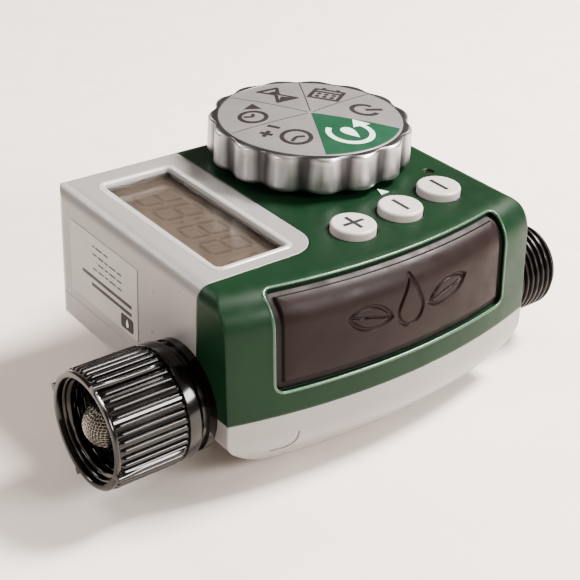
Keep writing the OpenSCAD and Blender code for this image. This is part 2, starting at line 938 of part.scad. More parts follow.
module diaphragm_disc() {
  color("#d8d4c8") difference() {
    union() {
      post([0, water_y], seat_z + 1.6, seat_z + 4.6, 8.5);
      post([0, water_y], seat_z + 4.5, seat_z + 6.2, 2.6);
    }
    translate([6.8, water_y, seat_z]) cylinder(h = 8, r = 0.5);
  }
}

module diaphragm_spring() {
  color(steel) for (k = [0:4]) ring(0, water_y, seat_z + 5.1 + k * 1.35, 4.2, 0.4);
}

module valve_bonnet() {
  z0 = seat_z + 4.5;
  color("#2a2a2d") difference() {
    union() {
      post([0, water_y], z0, 43.2, 16);
      post([0, water_y], z0, z0 + 3, 20);
      intersection() {
        along_y(-7, 2.4, 5, 0, coil_z);
        box([-6, -8, z0 + 0.3], [6, 3, 45]);
      }
    }
    post([0, water_y], z0 - 1, 40.6, 12);
    along_y(water_y + 8, 3, 1.2, 0, coil_z);
    along_y(-1.6, 3, 3.1, 0, coil_z);
    translate([0, water_y, z0 - 1]) bonnet_screw_at() cylinder(h = 6, r = 1.6);
  }
}

module bonnet_screws() {
  color(steel) translate([0, water_y, 0]) bonnet_screw_at() {
    translate([0, 0, seat_z - 2.2]) cylinder(h = 9.9, r = 1.05);
    translate([0, 0, seat_z + 7.5]) difference() {
      cylinder(h = 2, r = 2.3);
      translate([0, 0, 1]) cylinder(h = 2, r = 1, $fn = 6);
    }
  }
}

// ---------- solenoid ----------

module solenoid_coil() {
  color("#7a3b22") difference() {
    union() {
      along_y(coil_y[0] + 1.6, coil_y[1] - 1.6, 7.2, 0, coil_z);
      along_y(coil_y[0] + 1.1, coil_y[0] + 2.2, 8.4, 0, coil_z);
      along_y(coil_y[1] - 2.2, coil_y[1] - 1.1, 8.4, 0, coil_z);
    }
    along_y(0, 40, 4.1, 0, coil_z);
  }
}

module solenoid_yoke() {
  color(steel) difference() {
    box([-8.9, coil_y[0], coil_z - 8.9], [8.9, coil_y[1], coil_z + 8.9]);
    box([-10, coil_y[0] + 1, coil_z - 8.5], [10, coil_y[1] - 1, coil_z + 8.5]);
    along_y(0, 40, 4.1, 0, coil_z);
  }
}

module solenoid_tube() {
  color(brass) difference() {
    along_y(2.45, 31, 4, 0, coil_z);
    along_y(2, 29, 3.55, 0, coil_z);
  }
}

module plunger() {
  color(steel) difference() {
    along_y(3.4, 18.6, 3.5, 0, coil_z);
    along_y(15.2, 19, 2, 0, coil_z);
  }
}

module plunger_tip() {
  color(black) along_y(-1.5, 3.4, 2.2, 0, coil_z);
}

module plunger_spring() {
  color(steel) for (k = [0:9]) translate([0, 16 + k * 1.35, coil_z]) rotate([90, 0, 0])
    rotate_extrude() translate([1.5, 0]) circle(0.3);
}

rear_shell();
front_cover();
display_housing();
name_plate();
display_window();
dial_knob();
dial_face();
dial_shaft();
dial_seal();
dial_clip();
switch_rotor();
wiper_contacts();
contact_pads();
detent_spring();
plus_button();
minus_button();
manual_button();
tact_switches();
pointer_mark();
status_lens();
side_label();
housing_seal();
housing_screws();
circuit_board();
board_screws();
controller_chip();
storage_capacitor();
lcd_glass();
lcd_holder();
lcd_connectors();
inlet_nut();
inlet_tailpiece();
inlet_seal();
hose_washer();
filter_screen();
valve_body();
outlet_spigot();
outlet_seal();
diaphragm();
diaphragm_disc();
diaphragm_spring();
valve_bonnet();
bonnet_screws();
solenoid_coil();
solenoid_yoke();
solenoid_tube();
plunger();
plunger_tip();
plunger_spring();
solenoid_wires();
battery_drawer();
battery_seal();
battery_cells();
cell_springs();
cell_plates();
terminal_blades();
battery_wires();
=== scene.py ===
import math

import bmesh
import bpy
from mathutils import Matrix, Vector


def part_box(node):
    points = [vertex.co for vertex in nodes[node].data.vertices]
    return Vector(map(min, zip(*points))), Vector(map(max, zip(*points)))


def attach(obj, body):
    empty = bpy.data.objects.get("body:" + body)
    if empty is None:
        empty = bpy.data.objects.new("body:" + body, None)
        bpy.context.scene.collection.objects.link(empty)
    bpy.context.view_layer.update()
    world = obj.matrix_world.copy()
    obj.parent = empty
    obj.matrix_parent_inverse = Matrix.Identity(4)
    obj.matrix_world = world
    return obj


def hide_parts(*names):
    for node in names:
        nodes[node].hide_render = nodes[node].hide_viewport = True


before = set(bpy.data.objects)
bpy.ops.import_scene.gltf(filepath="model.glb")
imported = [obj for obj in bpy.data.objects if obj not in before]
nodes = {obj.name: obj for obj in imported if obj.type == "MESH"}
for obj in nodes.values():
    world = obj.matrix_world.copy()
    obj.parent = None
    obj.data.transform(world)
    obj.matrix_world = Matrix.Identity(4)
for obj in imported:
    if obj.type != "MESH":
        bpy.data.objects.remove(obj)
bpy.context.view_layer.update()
MM = 0.001
TAU = 2 * math.pi

# Driving sizes, in millimetres in the row frame, read from the frame where it has them
cover_lo, cover_hi = [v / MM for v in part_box("front_cover")]
HALF_X = cover_hi.x
SPLIT_Z = cover_lo.z
TOP_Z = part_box("display_housing")[1].z / MM
BOW_R = 195.0
BOW_CY = BOW_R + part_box("rear_shell")[0].y / MM
DRAFT = math.radians(4.5)
TOP_FILLET = 10.0
nut_lo, nut_hi = [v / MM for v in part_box("inlet_nut")]
WATER_Y = (nut_lo.y + nut_hi.y) / 2
WATER_Z = (nut_lo.z + nut_hi.z) / 2
knob_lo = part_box("dial_knob")[0] / MM
shaft_lo, shaft_hi = [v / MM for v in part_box("dial_shaft")]
DIAL = Vector(((shaft_lo.x + shaft_hi.x) / 2, (shaft_lo.y + shaft_hi.y) / 2, knob_lo.z))
DIAL_R = 30.25
DIAL_H = 10.7
DIAL_DOME = 1.5
SCALLOPS = 15           # grip hollows round the dial
SCALLOP_DEPTH = 1.6
FACE_R = 27.3           # printed face of the dial
THREAD_PITCH = 2.209    # garden hose thread, 11.5 to the inch
RECESS_FOOT_Z = 29.0    # lower edge of the plate's recess
RECESS_BACK = 8.8       # how far the recess runs up over the front fillet
PLATE_X = (-40.2, 40.7)
PLATE_MARGIN = 0.3      # gap between the plate and its recess
INK = 0.05              # height of printed shapes over their surface
THIN_INK = 0.03
INK_ROOT = -0.04        # how deep printed shapes start below it


# ---------- materials ----------

def shader(name):
    """A new material, its tree and its surface node."""
    mat = bpy.data.materials.new(name)
    mat.use_nodes = True
    tree = mat.node_tree
    return mat, tree, tree.nodes["Principled BSDF"]


def noise(tree, coord, scale, detail=2.0, rough=0.5):
    """Cloud noise at scale per metre, mostly between 0.3 and 0.7."""
    n = tree.nodes.new("ShaderNodeTexNoise")
    n.inputs["Scale"].default_value = scale
    n.inputs["Detail"].default_value = detail
    n.inputs["Roughness"].default_value = rough
    tree.links.new(coord, n.inputs["Vector"])
    return n.outputs["Fac"]


def spread(tree, value, lo, hi, from_lo=0.3, from_hi=0.7):
    """Stretches a value from one range to another."""
    n = tree.nodes.new("ShaderNodeMapRange")
    n.inputs["From Min"].default_value = from_lo
    n.inputs["From Max"].default_value = from_hi
    n.inputs["To Min"].default_value = lo
    n.inputs["To Max"].default_value = hi
    tree.links.new(value, n.inputs["Value"])
    return n.outputs["Result"]


def blend_color(tree, factor, a, b):
    """Colour a at factor 0, b at factor 1; each is a colour or a socket."""
    n = tree.nodes.new("ShaderNodeMix")
    n.data_type = "RGBA"
    tree.links.new(factor, n.inputs["Factor"])
    for socket, value in ((n.inputs["A"], a), (n.inputs["B"], b)):
        if isinstance(value, tuple):
            socket.default_value = (*value, 1)
        else:
            tree.links.new(value, socket)
    return n.outputs["Result"]


def edge_mask(tree, radius):
    """1 on outer edges, where the paler colour is both wear and a painted highlight, 0 on flat
    faces.
    """
    bevel = tree.nodes.new("ShaderNodeBevel")
    bevel.samples = 4
    bevel.inputs["Radius"].default_value = radius
    geo = tree.nodes.new("ShaderNodeNewGeometry")
    dot = tree.nodes.new("ShaderNodeVectorMath")
    dot.operation = "DOT_PRODUCT"
    tree.links.new(bevel.outputs["Normal"], dot.inputs[0])
    tree.links.new(geo.outputs["Normal"], dot.inputs[1])
    return spread(tree, dot.outputs["Value"], 1.0, 0.0, 0.75, 0.99)


def bump(tree, bsdf, height, distance, strength=0.5, soft=0.0):
    """Fine relief, and edges that look rounded over soft millimetres."""
    n = tree.nodes.new("ShaderNodeBump")
    if soft:
        bevel = tree.nodes.new("ShaderNodeBevel")
        bevel.samples = 8
        bevel.inputs["Radius"].default_value = soft * MM
        tree.links.new(bevel.outputs["Normal"], n.inputs["Normal"])
    n.inputs["Strength"].default_value = strength
    n.inputs["Distance"].default_value = distance
    tree.links.new(height, n.inputs["Height"])
    tree.links.new(n.outputs["Normal"], bsdf.inputs["Normal"])


def moulded(name, color, rough=0.3, vary=0.08, grain=1800, grain_depth=0.00002, coat=0.0,
            wear_and_highlight=0.25, wear_and_highlight_color=None, metallic=0.0, specular=0.5, strength=0.35, soft=0.0):
    """Moulded or painted plastic: cloudy colour, fine grain, uneven gloss, and paler soft edges
    that are both wear and a painted highlight.
    """
    mat, tree, bsdf = shader(name)
    coord = tree.nodes.new("ShaderNodeTexCoord").outputs["Object"]
    cloud = noise(tree, coord, 45, 4)
    dark = tuple(c * (1 - vary) for c in color)
    pale = tuple(min(1, c * (1 + vary)) for c in color)
    base = blend_color(tree, spread(tree, cloud, 0, 1), dark, pale)
    # paler edges: partly wear, partly a painted highlight along every edge
    wear_and_highlight_tone = wear_and_highlight_color or tuple(min(1, c * 1.5 + 0.03) for c in color)
    wear_and_highlight_noise = noise(tree, coord, 220, 5, 0.7)
    gate = spread(tree, wear_and_highlight_noise, wear_and_highlight * 0.6, wear_and_highlight, 0.35, 0.75)
    both = tree.nodes.new("ShaderNodeMath")
    both.operation = "MULTIPLY"
    tree.links.new(edge_mask(tree, 0.0006), both.inputs[0])
    tree.links.new(gate, both.inputs[1])
    base = blend_color(tree, both.outputs["Value"], base, wear_and_highlight_tone)
    tree.links.new(base, bsdf.inputs["Base Color"])
    fine = noise(tree, coord, grain, 3, 0.6)
    patch = noise(tree, coord, 160, 3)
    tree.links.new(spread(tree, patch, rough * 0.85, rough * 1.2), bsdf.inputs["Roughness"])
    bump(tree, bsdf, fine, grain_depth, strength, soft)
    bsdf.inputs["Metallic"].default_value = metallic
    bsdf.inputs["Coat Weight"].default_value = coat
    bsdf.inputs["Coat Roughness"].default_value = 0.12
    bsdf.inputs["Specular IOR Level"].default_value = specular
    return mat


def metal(name, color, rough=0.3, grain=900, stretch=(1, 1, 1)):
    """Bare metal with fine lines along the axes that stretch leaves short."""
    mat, tree, bsdf = shader(name)
    coord = tree.nodes.new("ShaderNodeTexCoord").outputs["Object"]
    mapping = tree.nodes.new("ShaderNodeMapping")
    mapping.inputs["Scale"].default_value = stretch
    tree.links.new(coord, mapping.inputs["Vector"])
    lines = noise(tree, mapping.outputs["Vector"], grain, 4, 0.65)
    cloud = noise(tree, coord, 120, 3)
    dark = tuple(c * 0.82 for c in color)
    base = blend_color(tree, spread(tree, cloud, 0, 1), dark, color)
    tree.links.new(base, bsdf.inputs["Base Color"])
    tree.links.new(spread(tree, lines, rough * 0.7, rough * 1.4), bsdf.inputs["Roughness"])
    bump(tree, bsdf, lines, 0.00001, 0.4)
    bsdf.inputs["Metallic"].default_value = 1.0
    return mat


def clear_plastic(name, tint, rough=0.06):
    """See-through plastic with a little haze and fine scratches."""
    mat, tree, bsdf = shader(name)
    coord = tree.nodes.new("ShaderNodeTexCoord").outputs["Object"]
    haze = noise(tree, coord, 300, 4)
    tree.links.new(spread(tree, haze, rough * 0.6, rough * 2.2), bsdf.inputs["Roughness"])
    scratches = noise(tree, coord, 1500, 2)
    bump(tree, bsdf, scratches, 0.000002, 0.03)
    bsdf.inputs["Base Color"].default_value = (*tint, 1)
    bsdf.inputs["Transmission Weight"].default_value = 1.0
    bsdf.inputs["Alpha"].default_value = 0.6
    bsdf.inputs["IOR"].default_value = 1.42
    return mat


def paint_hollow_shade(mat, centre, hollow_r, crest_r, dark):
    """Painted shade: darker colour in the hollows round an upright axis, by the distance from it in
    metres.
    """
    tree = mat.node_tree
    bsdf = tree.nodes["Principled BSDF"]
    coord = tree.nodes.new("ShaderNodeTexCoord").outputs["Object"]
    flat = tree.nodes.new("ShaderNodeVectorMath")
    flat.operation = "MULTIPLY_ADD"
    flat.inputs[1].default_value = (1, 1, 0)
    flat.inputs[2].default_value = (-centre.x, -centre.y, 0)
    tree.links.new(coord, flat.inputs[0])
    far = tree.nodes.new("ShaderNodeVectorMath")
    far.operation = "LENGTH"
    tree.links.new(flat.outputs["Vector"], far.inputs[0])
    crest = spread(tree, far.outputs["Value"], 0, 1, hollow_r, crest_r)
    base = bsdf.inputs["Base Color"].links[0].from_socket
    tree.links.new(blend_color(tree, crest, dark, base), bsdf.inputs["Base Color"])


GREEN = moulded("green_shell", (0.009, 0.033, 0.015), 0.37, 0.12, 1500, 0.00003, 0.0, 0.3,
                (0.09, 0.15, 0.11), specular=0.2, soft=1.0)
# paler green for the lip round the plate: a painted highlight
GREEN_HIGHLIGHT = moulded("green_rim_highlight", (0.05, 0.115, 0.07), 0.26, 0.1, 1500, 0.00002, 0.2, 0.1)
GRAY = moulded("gray_shell", (0.295, 0.285, 0.278), 0.32, 0.04, 1500, 0.00002, 0.12, 0.3,
               (0.6, 0.6, 0.59), soft=0.8)
# paler grey for the frame round the display: a painted highlight
GRAY_HIGHLIGHT = moulded("gray_rim_highlight", (0.46, 0.45, 0.445), 0.2, 0.04, 1500, 0.00001, 0.4, 0.1)
SILVER = moulded("silver_paint", (0.55, 0.545, 0.56), 0.37, 0.03, 2600, 0.000005, 0.0, 0.02,
                 (0.5, 0.5, 0.5), 0.97, strength=0.08)
# painted shade in the grip hollows of the dial
paint_hollow_shade(SILVER, DIAL * MM, 0.0287, 0.0295, (0.13, 0.128, 0.134))
SILVER_FACE = moulded("silver_print", (0.245, 0.236, 0.24), 0.42, 0.05, 2600, 0.00002, 0.1, 0.1,
                      None, 0.3)
BUTTON = moulded("button_plastic", (0.56, 0.515, 0.505), 0.38, 0.05, 2200, 0.00002, 0.1, 0.2,
                 (0.65, 0.62, 0.62), soft=0.25)
BROWN = moulded("brown_plate", (0.017, 0.0095, 0.009), 0.42, 0.12, 1800, 0.00003, 0.0, 0.3,
                (0.08, 0.055, 0.052), specular=0.2)
# darker brown for the plate's low band: painted shade in the recess
BROWN_SHADE = moulded("brown_plate_shade", (0.009, 0.005, 0.005), 0.5, 0.12, 1800, 0.00003,
                     specular=0.3)
BLACK = moulded("black_nylon", (0.004, 0.003, 0.0032), 0.17, 0.15, 1200, 0.00001, 0.3, 0.1,
                (0.03, 0.024, 0.024), strength=0.08)
BLACK_THREAD = moulded("black_thread", (0.006, 0.004, 0.004), 0.4, 0.15, 1200, 0.00002, 0.05, 0.1,
                       (0.03, 0.024, 0.024), specular=0.35)
BLACK_MATT = moulded("black_matt", (0.02, 0.02, 0.021), 0.5, 0.15, 1500, 0.00003)
RUBBER = moulded("seal_rubber", (0.015, 0.015, 0.015), 0.65, 0.2, 900, 0.00004)
ORING = moulded("oring_rubber", (0.05, 0.02, 0.015), 0.5, 0.2, 900, 0.00003)
DARK_PRINT = moulded("dark_print", (0.02, 0.015, 0.018), 0.5, 0.2, 2500, 0.00001)
GREEN_PRINT = moulded("green_print", (0.008, 0.066, 0.033), 0.42, 0.08, 2500, 0.00001)
PALE_PRINT = moulded("pale_print", (0.62, 0.74, 0.66), 0.45, 0.06, 2500, 0.00001)
LABEL = moulded("label_film", (0.42, 0.41, 0.4), 0.42, 0.04, 2000, 0.00001)
LCD_BACK = moulded("lcd_back", (0.155, 0.12, 0.092), 0.5, 0.04, 1200, 0.00001, wear_and_highlight=0.02)
LCD_SEGMENT = moulded("lcd_segment", (0.075, 0.055, 0.04), 0.5, 0.06, 1200, 0.00001, wear_and_highlight=0.02)
LENS = moulded("tinted_lens", (0.015, 0.006, 0.006), 0.15, 0.1, 900, 0.00001, 0.4)
WINDOW = clear_plastic("window_plastic", (0.93, 0.91, 0.89))
BOARD = moulded("solder_mask", (0.01, 0.09, 0.03), 0.3, 0.2, 700, 0.00003, 0.2)
SLEEVE = moulded("capacitor_sleeve", (0.012, 0.016, 0.03), 0.3, 0.1)
ACETAL = moulded("acetal", (0.66, 0.63, 0.55), 0.4, 0.05)
ZEBRA = moulded("zebra_strip", (0.5, 0.3, 0.33), 0.6, 0.2, 3000)
CELL = moulded("cell_jacket", (0.02, 0.02, 0.023), 0.25, 0.2, 800, 0.00001, 0.3)
RED_LEAD = moulded("red_lead", (0.35, 0.02, 0.015), 0.4, 0.1)
BLACK_LEAD = moulded("black_lead", (0.02, 0.02, 0.02), 0.4, 0.1)
STEEL = metal("bright_steel", (0.62, 0.62, 0.63), 0.28)
ZINC = metal("zinc_plate", (0.55, 0.55, 0.52), 0.4, 500)
BRASS = metal("brass", (0.75, 0.55, 0.22), 0.3)
COPPER = metal("coil_winding", (0.5, 0.2, 0.08), 0.35, 1200, (1, 6, 1))
MESH_WIRE = metal("mesh_wire", (0.3, 0.28, 0.25), 0.25, 2500)

CAD_LOOKS = {
    GREEN: ["front_cover"],
    GRAY: ["display_housing", "rear_shell", "battery_drawer", "dial_shaft"],
    BUTTON: ["plus_button", "minus_button", "manual_button"],
    BLACK: ["inlet_tailpiece"],
    BLACK_MATT: ["valve_body", "valve_bonnet", "switch_rotor", "tact_switches", "lcd_holder",
                 "controller_chip"],
    RUBBER: ["dial_seal", "housing_seal", "hose_washer", "diaphragm", "battery_seal",
             "plunger_tip"],
    ORING: ["inlet_seal", "outlet_seal"],
    PALE_PRINT: ["pointer_mark"],
    LENS: ["status_lens"],
    LABEL: ["side_label"],
    WINDOW: ["display_window"],
    BOARD: ["circuit_board"],
    SLEEVE: ["storage_capacitor"],
    ACETAL: ["diaphragm_disc"],
    ZEBRA: ["lcd_connectors"],
    CELL: ["battery_cells"],
    RED_LEAD: ["solenoid_wires"],
    BLACK_LEAD: ["battery_wires"],
    STEEL: ["dial_clip", "detent_spring", "diaphragm_spring", "plunger_spring", "cell_springs",
            "cell_plates", "solenoid_yoke", "plunger"],
    ZINC: ["housing_screws", "board_screws", "bonnet_screws"],
    BRASS: ["wiper_contacts", "contact_pads", "terminal_blades", "solenoid_tube"],
    COPPER: ["solenoid_coil"],
}


def dress_cad():
    """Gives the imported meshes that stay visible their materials."""
    for mat, names in CAD_LOOKS.items():
        for name in names:
            nodes[name].data.materials.clear()
            nodes[name].data.materials.append(mat)


# ---------- mesh kit ----------

def new_object(name, data):
    """An object in the scene."""
    obj = bpy.data.objects.new(name, data)
    bpy.context.scene.collection.objects.link(obj)
    return obj


def add_piece(name, verts, faces, mat, body, hides=(), sharp=35):
    """A mesh from millimetre points, smooth but for edges sharper than sharp degrees."""
    me = bpy.data.meshes.new(name)
    me.from_pydata([Vector(v) * MM for v in verts], [], faces)
    bm = bmesh.new()
    bm.from_mesh(me)
    bmesh.ops.remove_doubles(bm, verts=bm.verts, dist=1e-7)
    bmesh.ops.recalc_face_normals(bm, faces=bm.faces)
    bm.to_mesh(me)
    bm.free()
    me.materials.append(mat)
    for p in me.polygons:
        p.use_smooth = True
    me.set_sharp_from_angle(angle=math.radians(sharp))
    obj = new_object(name, me)
    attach(obj, body)
    if hides:
        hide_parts(*hides)
    return obj


def loft(rings, closed_rings=True, closed_loop=False):
    """Quads between rings of the same number of points."""
    count = len(rings[0])
    verts = [p for ring in rings for p in ring]
    faces = []
    last = len(rings) if closed_loop else len(rings) - 1
    across = count if closed_rings else count - 1
    for i in range(last):
        a = i * count
        b = ((i + 1) % len(rings)) * count
        for j in range(across):
            k = (j + 1) % count
            faces.append((a + j, a + k, b + k, b + j))
    return verts, faces


def cap(verts, faces, ring_start, count, centre):
    """Closes a ring with triangles to a centre point."""
    verts.append(centre)
    mid = len(verts) - 1
    for j in range(count):
        faces.append((ring_start + j, ring_start + (j + 1) % count, mid))


def join(parts):
    """Several (verts, faces) as one."""
    verts, faces = [], []
    for v, f in parts:
        base = len(verts)
        verts += v
        faces += [tuple(i + base for i in face) for face in f]
    return verts, faces


def smooth_step(x, lo, hi):
    """0 below lo, 1 above hi, eased between."""
    t = min(1, max(0, (x - lo) / (hi - lo)))
    return t * t * (3 - 2 * t)


def around_water(x, r, angle):
    """A point round the water line that both threads share."""
    return (x, WATER_Y + r * math.cos(angle), WATER_Z + r * math.sin(angle))


def steps(a, b, n):
    """n + 1 values from a to b."""
    return [a + (b - a) * i / n for i in range(n + 1)]


# ---------- swivel nut ----------

NUT_RIBS = 45
NUT_LUG_ANGLE = math.radians(17)
NUT_RIB_ANGLE = math.radians(2.8)
NUT_RIB_WIDTH = 0.33    # half width of a rib, as a share of the spacing
NUT_LUG_HALF = 1.05     # half width of a tall rib


def nut_rib(angle):
    """Half-round rib section, 0 to 1."""
    u = ((angle - NUT_RIB_ANGLE) * NUT_RIBS / TAU + 0.5) % 1 - 0.5
    u /= NUT_RIB_WIDTH
    return math.sqrt(max(0, 1 - u * u))


def nut_lug(angle, x):
    """Four taller ribs that run the nut's length and stand out at its front, 0 to 1."""
    u = ((angle - NUT_LUG_ANGLE) / (TAU / 4) + 0.5) % 1 - 0.5
    off = abs(u) * TAU / 4 * 16.5
    if off > NUT_LUG_HALF:
        return 0
    return math.sqrt(1 - (off / NUT_LUG_HALF) ** 2) * (1 - smooth_step(x, 19.6, 20.6))


def make_nut():
    """One closed skin: rim, ribs, plain ring, bore and female thread."""
    x0 = nut_lo.x
    count = NUT_RIBS * 16
    angles = [TAU * j / count for j in range(count)]
    outer = [(0, 15.25), (0.12, 15.6), (0.4, 15.85), (0.9, 15.85), (1.2, 15.6), (1.4, 15.3)]
    outer += [(x, 15.3) for x in (1.6, 1.8, 2.1, 2.5, 3.0, 3.3, 3.6, 3.9, 4.2, 5, 8, 12, 16, 19,
                                  20.0, 20.3, 20.5, 20.7, 20.9)]
    outer += [(21.1, 15.3), (21.15, 15.75), (21.3, 15.95), (21.6, 16.0), (24.3, 16.0),
              (24.8, 15.9), (25.15, 15.6), (25.3, 15.2)]
    rings = []
    for x, r in outer:
        rib = smooth_step(x, 0.9, 2.4) * (1 - smooth_step(x, 20.2, 20.95))
        rings.append([])
        for a in angles:
            tall = r + 0.82 * rib * nut_rib(a)
            lug = nut_lug(a, x)
            crest = 17.2 - (0.5 if x == 0 else 0) - 0.35 * smooth_step(x, 2, 8)
            tall = max(tall, 15.2 + lug * (crest - 15.2)) if lug else tall
            rings[-1].append(around_water(x0 + x, tall, a))
    inner = [(25.3, 10.6), (25.1, 10.15), (24.8, 10.0), (17.0, 10.0), (16.8, 10.2), (16.8, 13.2),
             (13.5, 13.2), (13.3, 13.0)]
    for x, r in inner:
        rings.append([around_water(x0 + x, r, a) for a in angles])
    for x in steps(13.0, 2.4, 64):
        ring = []
        for a in angles:
            u = (x / THREAD_PITCH + a / TAU) % 1
            groove = smooth_step(abs(u - 0.5), 0.12, 0.36)
            keep = smooth_step(x, 2.4, 3.4) * (1 - smooth_step(x, 12.0, 13.0))
            ring.append(around_water(x0 + x, 13.45 - 0.85 * keep * (1 - groove), a))
        rings.append(ring)
    for x, r in [(2.2, 13.5), (1.9, 13.6), (1.8, 13.75), (1.7, 13.95), (1.5, 14.0), (0.3, 14.1),
                 (0.1, 14.2), (0, 14.45), (0, 14.8)]:
        rings.append([around_water(x0 + x, r, a) for a in angles])
    verts, faces = loft(rings, True, True)
    add_piece("swivel_nut", verts, faces, BLACK, "swivel_nut", ["inlet_nut"], 40)


# ---------- outlet thread ----------

def make_outlet():
    """Collar at the wall, male thread, end face and bore."""
    lo, hi = [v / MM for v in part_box("outlet_spigot")]
    wall_x = HALF_X
    end_x = hi.x
    crest, root = 13.35, 12.2
    count = 192
    angles = [TAU * j / count for j in range(count)]
    rings = []

    def turn(x, r):
        rings.append([around_water(x, r, a) for a in angles])

    for x, r in [(lo.x, 6.9), (lo.x, 8.7), (lo.x + 0.3, 9.0), (wall_x, 9.0), (wall_x, 13.6),
                 (wall_x + 0.15, 13.85), (wall_x + 0.5, 13.9), (wall_x + 2.0, 13.9),
                 (wall_x + 2.3, 13.75), (wall_x + 2.4, 13.5), (wall_x + 2.4, 12.4),
                 (wall_x + 2.6, root), (wall_x + 3.4, root)]:
        turn(x, r)
    t0 = wall_x + 3.6
    t1 = end_x - 1.2
    for x in steps(t0, t1, 110):
        keep = smooth_step(x, t0, t0 + 1.6) * (1 - smooth_step(x, t1 - 1.6, t1))
        ring = []
        for a in angles:
            u = ((x - t0) / THREAD_PITCH + a / TAU) % 1
            ridge = 1 - smooth_step(abs(u - 0.5), 0.14, 0.42)
            ring.append(around_water(x, root + (crest - root) * ridge * keep, a))
        rings.append(ring)
    for x, r in [(end_x - 0.9, root), (end_x - 0.35, root - 0.35), (end_x - 0.08, root - 0.8),
                 (end_x, root - 1.2), (end_x, 9.0), (end_x - 0.15, 8.7), (end_x - 0.4, 8.6),
                 (end_x - 6, 8.6), (end_x - 6.1, 8.4), (end_x - 6.1, 6.7), (end_x - 6.4, 6.5),
                 (lo.x + 0.3, 6.5)]:
        turn(x, r)
    verts, faces = loft(rings, True, True)
    add_piece("outlet_thread", verts, faces, BLACK_THREAD, "housing",
              ["outlet_spigot"], 40)


# ---------- filter ----------

def make_filter():
    """Domed screen of woven wire on a flat rim, with a dark dome inside it that is painted shade.
    """
    base_x = (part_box("filter_screen")[1] / MM).x
    radius = 6.0
    long = 4.3          # straight part behind the dome
    step = 0.7          # spacing of the wires
    wire = 0.115        # radius of a wire

    def on_dome(s, phi):
        """Point at arc length s from the tip, at angle phi."""
        arc = radius * math.pi / 2
        if s < arc:
            a = s / radius
            return Vector((base_x - long - radius * math.cos(a),
                           radius * math.sin(a) * math.cos(phi),
                           radius * math.sin(a) * math.sin(phi)))
        return Vector((base_x - long + (s - arc), radius * math.cos(phi), radius * math.sin(phi)))

    def lift(y, z):
        """The dome above a point of its plan, for the wires of one direction."""
        d = math.hypot(y, z)
        if d > radius:
            return None
        return base_x - long - math.sqrt(max(0, radius * radius - d * d))

    parts = []

    def tube(points):
        """A six-sided wire along the points."""
        rings = []
        for i, p in enumerate(points):
            ahead = points[min(i + 1, len(points) - 1)] - points[max(i - 1, 0)]
            side = ahead.cross(Vector((1, 0, 0.01))).normalized()
            up = side.cross(ahead).normalized()
            rings.append([tuple(p + side * wire * math.cos(t) + up * wire * math.sin(t))
                          for t in (0, TAU / 6, TAU / 3, TAU / 2, TAU * 2 / 3, TAU * 5 / 6)])
        verts, faces = loft(rings)
        cap(verts, faces, 0, 6, tuple(points[0]))
        cap(verts, faces, len(rings) * 6 - 6, 6, tuple(points[-1]))
        parts.append((verts, faces))

    middle = Vector((0, WATER_Y, WATER_Z))
    lanes = int(radius / step)
    for along in (0, 1):
        for k in range(-lanes, lanes + 1):
            c = k * step
            half = math.sqrt(max(0.01, (radius - 0.15) ** 2 - c * c))
            if half < 0.8:
                continue
            n = max(6, int(2 * half / (step / 2)))
            points = []
            for i, t in enumerate(steps(-half, half, n)):
                y, z = (t, c) if along == 0 else (c, t)
                x = lift(y, z)
                weave = 0.1 * math.cos(math.pi * (t / step + k + along))
                points.append(Vector((x + weave, y, z)) + middle)
            tube(points)
    rings = []
    for x, r in [(base_x - long, radius), (base_x - 0.9, radius), (base_x - 0.6, radius + 0.3),
                 (base_x - 0.6, 11.7), (base_x - 0.5, 11.8), (base_x - 0.1, 11.8),
                 (base_x, 11.7), (base_x, radius - 0.3), (base_x - long, radius - 0.4)]:
        rings.append([around_water(x, r, TAU * j / 96) for j in range(96)])
    parts.append(loft(rings, True, True))
    # a dark matt dome just inside the screen: painted shade behind the wires
    inner = [[tuple(on_dome(s, TAU * j / 48) * 0.93 + Vector((base_x * 0.07 - 0.1, 0, 0)) + middle)
              for j in range(48)] for s in steps(0.3, radius * math.pi / 2, 12)]
    verts, faces = join(parts)
    add_piece("filter_mesh", verts, faces, MESH_WIRE, "housing",
              ["filter_screen"], 50)
    verts, faces = loft(inner)
    cap(verts, faces, 0, 48, tuple(on_dome(0, 0) * 0.93 + Vector((base_x * 0.07 - 0.1, 0, 0))
                                   + middle))
    add_piece("filter_shade", verts, faces, BLACK_MATT, "housing")


# ---------- dial ----------

def scallop(angle):
    """Depth of the grip hollows round the dial, 0 to 1."""
    return (0.5 - 0.5 * math.cos(SCALLOPS * angle)) ** 1.25


def dome_z(r):
    """Height of the dial's domed top at radius r."""
    return DIAL.z + DIAL_H + DIAL_DOME * (1 - (r / (DIAL_R - 2)) ** 2)


